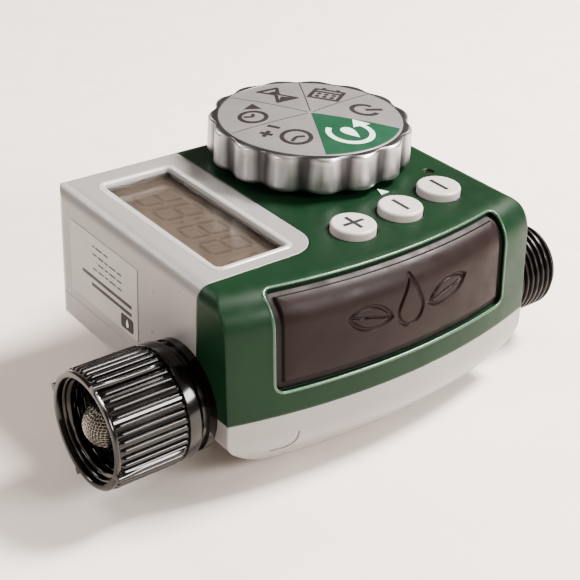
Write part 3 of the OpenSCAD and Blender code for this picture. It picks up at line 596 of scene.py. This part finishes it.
def make_dial():
    """Skirt with grip hollows, rounded rim, seat for the face and the hollow under it."""
    count = SCALLOPS * 24
    angles = [TAU * j / count for j in range(count)]
    rings = []

    def ring(z, inset, wave):
        """wave is 1 for the full grip hollows and 0 for a plain circle."""
        rings.append([(DIAL.x + (DIAL_R - inset - wave * SCALLOP_DEPTH * scallop(a)) * math.cos(a),
                       DIAL.y + (DIAL_R - inset - wave * SCALLOP_DEPTH * scallop(a)) * math.sin(a),
                       z) for a in angles])

    z0 = DIAL.z
    for z, inset, wave in ((8, 3.6, 0), (0.3, 3.5, 0), (0, 3.2, 0), (0, 0.6, 1), (0.15, 0.25, 1),
                           (0.5, 0.02, 1)):
        ring(z0 + z, inset, wave)
    for z in (1.5, 4, 6.5, 8.4):
        ring(z0 + z, 0.02 + (z - 0.5) * 0.02, 1)
    edge = 1.1
    for i in range(1, 8):
        a = math.pi / 2 * i / 7
        ring(z0 + DIAL_H - edge + edge * math.sin(a), 0.18 + edge * (1 - math.cos(a)),
             1 - 0.3 * i / 7)
    for out, drop in ((0.35, 0), (0.2, 0.02), (0.1, 0.12)):
        ring(dome_z(FACE_R + out) - drop, DIAL_R - FACE_R - out, 0)
    ring(dome_z(FACE_R) - 0.5, DIAL_R - FACE_R + 0.1, 0)
    for z, r in ((DIAL_H - 0.9, 20), (DIAL_H - 0.9, 9), (9, 8.2), (0.2, 7.5), (0.05, 7.2),
                 (0.05, 4.2), (7.6, 4.1)):
        ring(z0 + z, DIAL_R - r, 0)
    verts, faces = loft(rings)
    cap(verts, faces, (len(rings) - 1) * count, count, (DIAL.x, DIAL.y, z0 + 7.6))
    # roof of the hollow under the dial
    roof = [[(DIAL.x + r * math.cos(a), DIAL.y + r * math.sin(a), z0 + 8) for a in angles]
            for r in (DIAL_R - 3.6, 8.3)]
    verts, faces = join([(verts, faces), loft(roof)])
    add_piece("dial_body", verts, faces, SILVER, "dial", ["dial_knob"], 40)


def on_face(u, v, lift):
    """A point of the dial's printed face."""
    return (DIAL.x + u, DIAL.y + v, dome_z(math.hypot(u, v)) - 0.08 + lift)


def make_dial_face():
    """The domed disc that carries the print, with a soft edge."""
    count = 180
    profile = [(FACE_R, -0.3), (FACE_R - 0.02, -0.1), (FACE_R - 0.1, -0.02), (FACE_R - 0.4, 0)]
    profile += [(26 - 2.6 * i, 0) for i in range(10)]
    rings = [[on_face(r * math.cos(TAU * j / count), r * math.sin(TAU * j / count), lift)
              for j in range(count)] for r, lift in profile]
    verts, faces = loft(rings)
    cap(verts, faces, (len(rings) - 1) * count, count, on_face(0, 0, 0))
    cap(verts, faces, 0, count, on_face(0, 0, -1.2))
    add_piece("dial_print_face", verts, faces, SILVER_FACE, "dial", ["dial_face"],
              40)


# ---------- print ----------

def ink_patch(points, place, low=INK_ROOT, high=INK):
    """A thin plate with the outline points; place(u, v, lift) puts it on its surface."""
    n = len(points)
    cu = sum(p[0] for p in points) / n
    cv = sum(p[1] for p in points) / n
    verts = [place(u, v, high) for u, v in points] + [place(u, v, low) for u, v in points]
    faces = [(i, (i + 1) % n, n + (i + 1) % n, n + i) for i in range(n)]
    verts += [place(cu, cv, high), place(cu, cv, low)]
    faces += [(i, (i + 1) % n, 2 * n) for i in range(n)]
    faces += [(n + i, n + (i + 1) % n, 2 * n + 1) for i in range(n)]
    return verts, faces


def ink_band(inner, outer, place, closed=True, low=INK_ROOT, high=INK):
    """A thin band between two outlines of the same length."""
    n = len(inner)
    verts = []
    for line in (inner, outer):
        verts += [place(u, v, high) for u, v in line]
    for line in (inner, outer):
        verts += [place(u, v, low) for u, v in line]
    faces = []
    for i in range(n if closed else n - 1):
        j = (i + 1) % n
        faces.append((i, j, n + j, n + i))
        faces.append((2 * n + i, 2 * n + j, 3 * n + j, 3 * n + i))
        faces.append((i, j, 2 * n + j, 2 * n + i))
        faces.append((n + i, n + j, 3 * n + j, 3 * n + i))
    if not closed:
        for i in (0, n - 1):
            faces.append((i, n + i, 3 * n + i, 2 * n + i))
    return verts, faces


def bar(a, b, width, place, **kw):
    """A straight stroke from a to b, cut in short lengths to follow the surface."""
    du, dv = b[0] - a[0], b[1] - a[1]
    length = math.hypot(du, dv)
    nu, nv = -dv / length * width / 2, du / length * width / 2
    n = max(1, int(length / 1.5))
    left = [(a[0] + du * i / n + nu, a[1] + dv * i / n + nv) for i in range(n + 1)]
    right = [(a[0] + du * i / n - nu, a[1] + dv * i / n - nv) for i in range(n + 1)]
    return ink_band(left, right, place, False, **kw)


def arc(cu, cv, r, a0, a1, width, place, n=28, **kw):
    """A curved stroke from a0 to a1 degrees, or a whole ring."""
    closed = abs(a1 - a0) >= 359.9
    count = n if closed else n + 1
    line = [math.radians(a0 + (a1 - a0) * i / n) for i in range(count)]
    inner = [(cu + (r - width / 2) * math.cos(t), cv + (r - width / 2) * math.sin(t)) for t in line]
    outer = [(cu + (r + width / 2) * math.cos(t), cv + (r + width / 2) * math.sin(t)) for t in line]
    return ink_band(inner, outer, place, closed, **kw)


def disc(cu, cv, r, place, n=20, **kw):
    """A round dot."""
    return ink_patch([(cu + r * math.cos(TAU * i / n), cv + r * math.sin(TAU * i / n))
                      for i in range(n)], place, **kw)


def drop_outline(cu, cv, r, tall, n=40):
    """A water drop: round below, pointed above."""
    points = []
    for i in range(n):
        t = TAU * i / n
        wide = r * math.sin(t) * math.sin(t / 2) ** 1.3
        points.append((cu + wide, cv + tall * 0.5 * math.cos(t)))
    return points


def add_print(name, parts, mat, body):
    """Printed shapes as one piece."""
    verts, faces = join(parts)
    add_piece(name, verts, faces, mat, body, (), 60)


SECTOR_EDGES = [-120, -50, 10, 59, 115, 175]
SYMBOL_SCALE = 1.3
SYMBOL_R = 17.0         # where a symbol's middle sits on the face
SYMBOL_MID = 16         # where it sits in its own drawing


def sector_place(angle):
    """Puts a flat drawing on the dial so that its top points away from the centre."""
    t = math.radians(angle)

    def place(u, v, lift):
        u, v = u * SYMBOL_SCALE, SYMBOL_R + (v - SYMBOL_MID) * SYMBOL_SCALE
        x = u * math.sin(t) + v * math.cos(t)
        y = -u * math.cos(t) + v * math.sin(t)
        return on_face(x, y, lift)
    return place


def make_dial_print():
    """The green sector, the lines between the sectors and a symbol in each."""
    lo, hi = SECTOR_EDGES[0] + 0.6, SECTOR_EDGES[1] - 0.6
    rays = [math.radians(lo + (hi - lo) * i / 24) for i in range(25)]
    radii = [0.4] + [2.66 * k for k in range(1, 11)]
    rings = [[on_face(r * math.cos(t), r * math.sin(t), 0.035) for t in rays] for r in radii]
    rings.append([on_face(26.65 * math.cos(t), 26.65 * math.sin(t), -0.1) for t in rays])
    verts, faces = loft(rings, False)
    add_piece("dial_green_sector", verts, faces, GREEN_PRINT, "dial", (), 60)

    lines = []
    for a in SECTOR_EDGES[2:]:
        t = math.radians(a)
        lines.append(bar((1.0 * math.cos(t), 1.0 * math.sin(t)),
                         (26.8 * math.cos(t), 26.8 * math.sin(t)), 0.32, on_face, high=0.02))
    add_print("dial_sector_lines", lines, DARK_PRINT, "dial")

    dark = []
    mid = [(SECTOR_EDGES[i] + (SECTOR_EDGES + [240])[i + 1]) / 2 for i in range(6)]
    # off: a power sign
    p = sector_place(mid[1])
    dark.append(arc(0, 16, 3.0, -230, 50, 1.15, p))
    dark.append(bar((0, 16.2), (0, 20.4), 1.15, p))
    # how often: a calendar sheet
    p = sector_place(mid[2])
    for a, b in (((-3.4, 12.6), (3.4, 12.6)), ((-3.4, 19), (3.4, 19)),
                 ((-3.4, 12.2), (-3.4, 19.4)), ((3.4, 12.2), (3.4, 19.4)),
                 ((-3.4, 17.2), (3.4, 17.2)), ((-1.7, 18.6), (-1.7, 20.4)),
                 ((1.7, 18.6), (1.7, 20.4))):
        dark.append(bar(a, b, 0.95, p))
    for u in (-1.8, 0, 1.8):
        for v in (14, 15.7):
            dark.append(disc(u, v, 0.6, p, 12))
    # how long: an hourglass
    p = sector_place(mid[3])
    dark.append(bar((-3, 20.4), (3, 20.4), 1.1, p))
    dark.append(bar((-3, 12.2), (3, 12.2), 1.1, p))
    for s in (-1, 1):
        dark.append(bar((s * 2.4, 20), (s * 0.35, 16.3), 0.8, p))
        dark.append(bar((s * 0.35, 16.3), (s * 2.4, 12.6), 0.8, p))
    dark.append(ink_patch([(-1.5, 18.6), (1.5, 18.6), (0, 16.4)], p))
    dark.append(ink_patch([(-1.9, 12.7), (1.9, 12.7), (0, 14.8)], p))
    # start time: a clock with a start arrow
    p = sector_place(mid[4])
    dark.append(arc(-2.2, 16, 3.0, 0, 360, 1.0, p))
    dark.append(bar((-2.2, 16), (-2.2, 18.1), 0.85, p))
    dark.append(bar((-2.2, 16), (-0.6, 16), 0.85, p))
    dark.append(ink_patch([(2.3, 13.9), (2.3, 18.1), (5.6, 16)], p))
    # clock setting: a clock with a plus and a minus
    p = sector_place(mid[5])
    dark.append(arc(-2.4, 16, 3.2, 0, 360, 1.0, p))
    dark.append(bar((-2.4, 16), (-2.4, 18.3), 0.85, p))
    dark.append(bar((-2.4, 16), (-3.9, 14.9), 0.85, p))
    dark.append(bar((2.6, 17.6), (5.6, 17.6), 1.0, p))
    dark.append(bar((4.1, 16.1), (4.1, 19.1), 1.0, p))
    dark.append(bar((2.6, 13.8), (5.6, 13.8), 1.0, p))
    add_print("dial_symbols", dark, DARK_PRINT, "dial")

    # running: a drop inside a turning arrow, white on the green
    white = []
    p = sector_place(mid[0])

    def on_green(u, v, lift):
        return p(u, v, lift + 0.03)

    white.append(ink_patch(drop_outline(0, 15.8, 2.1, 5.6), on_green))
    white.append(arc(0, 15.6, 4.9, -60, 200, 1.3, on_green))
    white.append(ink_patch([(-7.0, 14.9), (-2.4, 14.2), (-5.2, 11.0)], on_green))
    add_print("dial_run_symbol", white, PALE_PRINT, "dial")


# ---------- emblem plate ----------

def front_depth(s):
    """(depth, height, normal out, normal up) on the front wall at path length s above its foot."""
    c_z = TOP_Z - TOP_FILLET
    c_d = (TOP_FILLET + (c_z - SPLIT_Z) * math.sin(DRAFT)) / math.cos(DRAFT)
    tangent = (c_z + TOP_FILLET * math.sin(DRAFT) - SPLIT_Z) / math.cos(DRAFT)
    if s <= tangent:
        return (s * math.sin(DRAFT), SPLIT_Z + s * math.cos(DRAFT), math.cos(DRAFT),
                math.sin(DRAFT))
    a = DRAFT + (s - tangent) / TOP_FILLET
    return (c_d - TOP_FILLET * math.cos(a), c_z + TOP_FILLET * math.sin(a), math.cos(a),
            math.sin(a))


def on_front(x, s, lift):
    """A point lift millimetres outside the bowed front wall."""
    depth, z, n_out, n_up = front_depth(s)
    r = BOW_R - depth + lift * n_out
    return (x, BOW_CY - math.sqrt(r * r - x * x), z + lift * n_up)


def front_s_at_depth(depth):
    """Path length at which the front wall lies depth behind its foot, by halving."""
    lo, hi = 20.0, 45.0
    for _ in range(40):
        mid = (lo + hi) / 2
        if front_depth(mid)[0] < depth:
            lo = mid
        else:
            hi = mid
    return lo


def rounded_ring(x0, x1, y0, y1, r, per_corner, per_long, per_short):
    """Outline of a rectangle with round corners, with a fixed number of points per side."""
    points = []
    corners = [(x1 - r, y0 + r, -90), (x1 - r, y1 - r, 0), (x0 + r, y1 - r, 90),
               (x0 + r, y0 + r, 180)]
    for k, (cx, cy, a0) in enumerate(corners):
        for i in range(per_corner):
            t = math.radians(a0 + 90 * i / per_corner)
            points.append((cx + r * math.cos(t), cy + r * math.sin(t)))
        nx, ny, na = corners[(k + 1) % 4]
        t0, t1 = math.radians(a0 + 90), math.radians(na)
        start = (cx + r * math.cos(t0), cy + r * math.sin(t0))
        end = (nx + r * math.cos(t1), ny + r * math.sin(t1))
        n = per_short if k % 2 == 0 else per_long
        for i in range(n):
            points.append((start[0] + (end[0] - start[0]) * i / n,
                           start[1] + (end[1] - start[1]) * i / n))
    return points


def emblem_depth(u, v):
    """Depth of the pressed drop and leaves at (u, v) from the plate's middle, 0 to 1."""

    def groove(d, half=0.72):
        return 1 - smooth_step(abs(d), half * 0.45, half)

    # drop: circle below, straight flanks to a point above
    r = 4.3
    cy = -2.2
    tip = 8.0
    beta = math.acos(r / (tip - cy))
    dx, dy = abs(u), v - cy
    nx, ny = math.sin(beta), math.cos(beta)
    if dx * ny - dy * nx < 0 and dy > r * ny - 0.01:
        flank = dx * nx + dy * ny - r
    else:
        flank = math.hypot(dx, dy) - r
    if v > tip + 0.5:
        flank = 9
    best = groove(flank)
    # two leaves: lens shapes with a midrib, their tips out to the sides
    lean = math.radians(14)
    big, off = 9.6, 6.4
    for side in (-1, 1):
        lu = side * u - 13.6
        lv = v + 0.6
        a = lu * math.cos(lean) + lv * math.sin(lean)
        b = -lu * math.sin(lean) + lv * math.cos(lean)
        d = max(math.hypot(a, b - off), math.hypot(a, b + off)) - big
        best = max(best, groove(d))
        if abs(a) < 6.2:
            best = max(best, groove(b, 0.5))
    return best


def make_name_plate():
    """Bowed plate: a low band, a raised pillow and the pressed emblem; the low band is darker
    brown, as painted shade.
    """
    s_low = (RECESS_FOOT_Z + PLATE_MARGIN - SPLIT_Z) / math.cos(DRAFT)
    s_high = front_s_at_depth(RECESS_BACK - PLATE_MARGIN)
    x0, x1 = PLATE_X
    mid_x = (x0 + x1) / 2 + 1
    mid_s = (s_low + s_high) / 2 + 0.3
    half = (s_high - s_low) / 2
    insets = [0, 0.12, 0.3, 0.6, 1.1, 1.7, 2.1, 2.2, 2.35, 2.5, 2.65, 2.75, 2.9, 3.2, 3.6, 4.0]
    n = int((half - 4.3) / 0.2)
    insets += [4.0 + (half - 4.25) * (i + 1) / n for i in range(n)]
    long, short, corner = 380, 110, 12

    def height(g, u, v):
        """Height over the front wall at inset g."""
        if g < 0.12:
            return -1.5
        band = -1.3 + 0.15 * smooth_step(g, 0.1, 0.4)
        rise = 0.85 * smooth_step(g, 2.1, 2.75)
        pillow = 0.35 * (1 - math.exp(-max(0, g - 2.75) / 3.5))
        return band + rise + pillow - 0.6 * emblem_depth(u, v) * smooth_step(g, 3.0, 3.4)

    rings = []
    for g in insets:
        r = max(2.7 - g, 0.35)
        outline = rounded_ring(x0 + g, x1 - g, s_low + g, s_high - g, r, corner, long, short)
        rings.append([on_front(x, s, height(g, x - mid_x, s - mid_s)) for x, s in outline])
    verts, faces = loft(rings)
    count = len(rings[0])
    # the last ring is a narrow slot, closed across
    base = (len(rings) - 1) * count
    last = list(range(base, base + count))
    right_mid = corner + short // 2
    left_mid = corner + short + corner + long + corner + short // 2
    a = last[right_mid:left_mid + 1]
    b = last[left_mid:] + last[:right_mid + 1]
    b.reverse()
    m = min(len(a), len(b))
    for i in range(m - 1):
        faces.append((a[i], a[i + 1], b[i + 1], b[i]))
    plate = add_piece("emblem_plate", verts, faces, BROWN, "housing",
                      ["name_plate"], 60)
    plate.data.materials.append(BROWN_SHADE)
    # the low band, out to inset 2.5, takes the painted shade
    shaded_faces = count * insets.index(2.5)
    for i, p in enumerate(plate.data.polygons):
        p.material_index = 1 if i < shaded_faces else 0


def make_recess_bead():
    """Rounded lip of the cover round the plate, paler green as a painted highlight."""
    s_low = (RECESS_FOOT_Z - SPLIT_Z) / math.cos(DRAFT)
    s_high = front_s_at_depth(RECESS_BACK)
    rings = []
    for i in range(10):
        t = TAU * i / 10
        g = -0.15 - 0.45 * math.cos(t)
        outline = rounded_ring(PLATE_X[0] - 0.3 + g, PLATE_X[1] + 0.3 - g, s_low + g, s_high - g,
                               3 - g, 10, 90, 24)
        rings.append([on_front(x, s, -0.12 + 0.45 * math.sin(t)) for x, s in outline])
    verts, faces = loft(rings, True, True)
    add_piece("recess_bead", verts, faces, GREEN_HIGHLIGHT, "housing", (), 80)


# ---------- display ----------

def make_window_rim():
    """Raised rounded frame of the display's opening, paler grey as a painted highlight."""
    half_x, half_y = 11.0, 28.0
    lo, hi = [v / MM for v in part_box("display_window")]
    cx, cy = (lo.x + hi.x) / 2, (lo.y + hi.y) / 2
    rings = []
    for g, z in ((0.02, -1.6), (0.02, -0.5), (0.12, -0.1), (0.4, 0.2), (0.8, 0.36), (1.2, 0.38),
                 (1.6, 0.26), (1.95, 0.05), (2.1, -0.2), (2.1, -0.6), (1.5, -1.0)):
        rings.append([(x, y, TOP_Z + z) for x, y in
                      rounded_ring(cx - half_x - g, cx + half_x + g, cy - half_y - g,
                                   cy + half_y + g, 1.2 + g, 8, 4, 8)])
    verts, faces = loft(rings, True, True)
    add_piece("window_rim", verts, faces, GRAY_HIGHLIGHT, "housing", (), 60)


def make_display():
    """The panel under the window and its segments, which show no time."""
    lo, hi = [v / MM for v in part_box("lcd_glass")]
    cx, cy = (lo.x + hi.x) / 2, (lo.y + hi.y) / 2
    z = hi.z

    def slab(x0, x1, y0, y1, z0, z1, r):
        rings = []
        for zz, g in ((z0, 0.15), (z0 + 0.15, 0), (z1 - 0.15, 0), (z1, 0.15)):
            rings.append([(x, y, zz) for x, y in
                          rounded_ring(x0 + g, x1 - g, y0 + g, y1 - g, r, 6, 4, 8)])
        verts, faces = loft(rings)
        n = len(rings[0])
        cap(verts, faces, 0, n, ((x0 + x1) / 2, (y0 + y1) / 2, z0))
        cap(verts, faces, 3 * n, n, ((x0 + x1) / 2, (y0 + y1) / 2, z1))
        return verts, faces

    verts, faces = slab(lo.x, hi.x, lo.y, hi.y, lo.z, z - 0.06, 0.6)
    add_piece("lcd_panel", verts, faces, LCD_BACK, "housing", ["lcd_glass"], 40)

    def place(u, v, lift):
        """Digits read with their tops towards the inlet and run along +Y."""
        return (cx - v, cy + u, z - 0.06 + lift)

    parts = []

    def digit(u0, v0, w, h, lean=0.12):
        """A seven-segment figure with all its segments, from its lower left corner."""
        t = 1.15        # width of a segment
        gap = 0.25      # between two segments

        def q(u, v):
            return (u0 + u + (v - h / 2) * lean, v0 + v)

        def segment(a, b):
            du, dv = b[0] - a[0], b[1] - a[1]
            ln = math.hypot(du, dv)
            du, dv = du / ln, dv / ln
            nu, nv = -dv * t / 2, du * t / 2
            a = (a[0] + du * gap, a[1] + dv * gap)
            b = (b[0] - du * gap, b[1] - dv * gap)
            k = t / 2
            pts = [a, (a[0] + du * k + nu, a[1] + dv * k + nv),
                   (b[0] - du * k + nu, b[1] - dv * k + nv), b,
                   (b[0] - du * k - nu, b[1] - dv * k - nv),
                   (a[0] + du * k - nu, a[1] + dv * k - nv)]
            parts.append(ink_patch([q(*c) for c in pts], place, high=THIN_INK))

        for a, b in (((0, 0), (w, 0)), ((0, h / 2), (w, h / 2)), ((0, h), (w, h)),
                     ((0, 0), (0, h / 2)), ((0, h / 2), (0, h)), ((w, 0), (w, h / 2)),
                     ((w, h / 2), (w, h))):
            segment(a, b)

    for u in (-15.5, -5.2, 7.2, 17.5):
        digit(u - 3.4, -6.6, 6.8, 12.2)
    for v in (-2.6, 2.2):
        parts.append(disc(1.1, v, 0.75, place, 14, high=THIN_INK))
    for u in (-25.4, -23.4):
        parts.append(bar((u, -5), (u, -2.4), 0.8, place, high=THIN_INK))
    parts.append(ink_patch(drop_outline(-24.3, 3.8, 1.2, 3.4, 24), place, high=THIN_INK))
    add_print("lcd_segments", parts, LCD_SEGMENT, "housing")


# ---------- print on the label and buttons ----------

def make_label_print():
    """Broken thin bars, two full bars and a dark block with a drop, in place of text."""
    lo, hi = [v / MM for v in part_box("side_label")]
    y0, z0, z1 = lo.y, lo.z, hi.z
    x = lo.x

    def place(u, v, lift):
        return (x - lift * 0.6, u, v)

    dark = []
    rows = [(z1 - 3.2, y0 + 15, y0 + 23), (z1 - 5.6, y0 + 8, y0 + 23), (z1 - 7.9, y0 + 8, y0 + 21),
            (z1 - 10.2, y0 + 8, y0 + 23)]
    for z, a, b in rows:
        u = a
        k = 0
        while u < b:
            long = (2.3, 3.4, 1.6, 2.8)[k % 4]
            end = min(u + long, b)
            dark.append(bar((u, z), (end, z), 0.5, place, high=THIN_INK))
            u = end + 0.7
            k += 1
    for i, z in enumerate((z1 - 13.2, z1 - 15.6)):
        dark.append(bar((y0 + 3, z), (y0 + 29 - 5 * i, z), 1.1, place, high=THIN_INK))
    block = rounded_ring(y0 + 2.2, y0 + 8.6, z0 + 1, z0 + 5.4, 0.9, 5, 4, 3)
    dark.append(ink_patch(block, place, high=THIN_INK))
    add_print("label_print", dark, DARK_PRINT, "housing")

    def raised(u, v, lift):
        return (x - 0.02 - lift * 0.6, u, v)

    pale = [ink_patch(drop_outline(y0 + 5.4, z0 + 3.2, 0.9, 2.8, 24), raised, high=THIN_INK)]
    add_print("label_drop", pale, PALE_PRINT, "housing")


def make_button_marks():
    """A plus and two bars. The second bar of the plus is a hair higher than the first."""
    for name, body, bars in (("plus_button", "plus_key", ((7.2, 0), (7.2, 90))),
                             ("minus_button", "minus_key", ((7, 90),)),
                             ("manual_button", "manual_key", ((7.4, 90),))):
        lo, hi = [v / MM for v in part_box(name)]
        cx, cy, top = (lo.x + hi.x) / 2, (lo.y + hi.y) / 2, hi.z

        def place(u, v, lift):
            return (cx + u, cy + v, top + lift)

        parts = []
        for size, turn in bars:
            c, s = math.cos(math.radians(turn)), math.sin(math.radians(turn))
            h = size / 2 - 0.12
            parts.append(bar((-h * c, -h * s), (h * c, h * s), 1.1, place, high=0.06 + turn / 9000))
        add_print(name + "_mark", parts, DARK_PRINT, body)


# ---------- camera, light, stage ----------

CAMERA_PLACE = (-0.2073, -0.2487, 0.2151)
CAMERA_FORWARD = (0.5479, 0.6669, -0.5050)
CAMERA_UP = (0.2794, 0.4232, 0.8619)
CAMERA_LENS = 79.65
FLOOR_HALF = 1.5
FLOOR_GAP = 0.0002      # keeps the floor clear of the base's flat


def make_camera():
    """The photo's viewing angle, with its slight roll."""
    cam = bpy.data.cameras.new("camera")
    cam.lens = CAMERA_LENS
    cam.sensor_width = 36
    cam.clip_start = 0.01
    obj = new_object("camera", cam)
    forward = Vector(CAMERA_FORWARD).normalized()
    up = Vector(CAMERA_UP)
    right = forward.cross(up).normalized()
    up = right.cross(forward)
    m = Matrix((right, up, -forward)).transposed().to_4x4()
    m.translation = Vector(CAMERA_PLACE)
    obj.matrix_world = m
    bpy.context.scene.camera = obj


def area_light(name, place, target, size, power, color):
    """A rectangular light at place that faces the target."""
    light = bpy.data.lights.new(name, "AREA")
    light.shape = "RECTANGLE"
    light.size, light.size_y = size
    light.energy = power
    light.color = color
    obj = new_object(name, light)
    obj.location = place
    obj.rotation_euler = (Vector(target) - Vector(place)).to_track_quat("-Z", "Y").to_euler()


def make_lights():
    """Soft key from the right, a low window light for the streaks, two weak fills."""
    area_light("key_light", (0.64, -0.12, 0.92), (-0.02, -0.01, 0.03), (0.3, 0.3), 29,
               (1, 0.95, 0.91))
    area_light("window_light", (0.36, -0.8, 0.53), (0, 0, 0.03), (0.4, 0.28), 9, (1, 0.97, 0.94))
    area_light("rear_light", (-0.3, 1.0, 0.75), (0, 0, 0.03), (0.6, 0.3), 5, (1, 0.97, 0.95))
    area_light("left_light", (-0.95, 0.1, 0.5), (0, 0, 0.04), (0.3, 0.3), 3, (1, 0.98, 0.96))
    world = bpy.data.worlds.new("world")
    world.use_nodes = True
    back = world.node_tree.nodes["Background"]
    back.inputs["Color"].default_value = (1.0, 0.85, 0.73, 1)
    back.inputs["Strength"].default_value = 0.27
    bpy.context.scene.world = world
    bpy.context.scene.view_settings.look = "AgX - Medium High Contrast"


def make_floor():
    """Plain pale floor."""
    bm = bmesh.new()
    bmesh.ops.create_grid(bm, x_segments=8, y_segments=8, size=FLOOR_HALF)
    me = bpy.data.meshes.new("floor")
    bm.to_mesh(me)
    bm.free()
    obj = new_object("floor", me)
    obj.location.z = -FLOOR_GAP
    mat = moulded("floor_paint", (0.92, 0.85, 0.79), 0.6, 0.02, 300, 0.00002)
    me.materials.append(mat)


make_camera()
make_lights()
make_floor()
dress_cad()
make_nut()
make_outlet()
make_filter()
make_dial()
make_dial_face()
make_dial_print()
make_name_plate()
make_recess_bead()
make_window_rim()
make_display()
make_label_print()
make_button_marks()
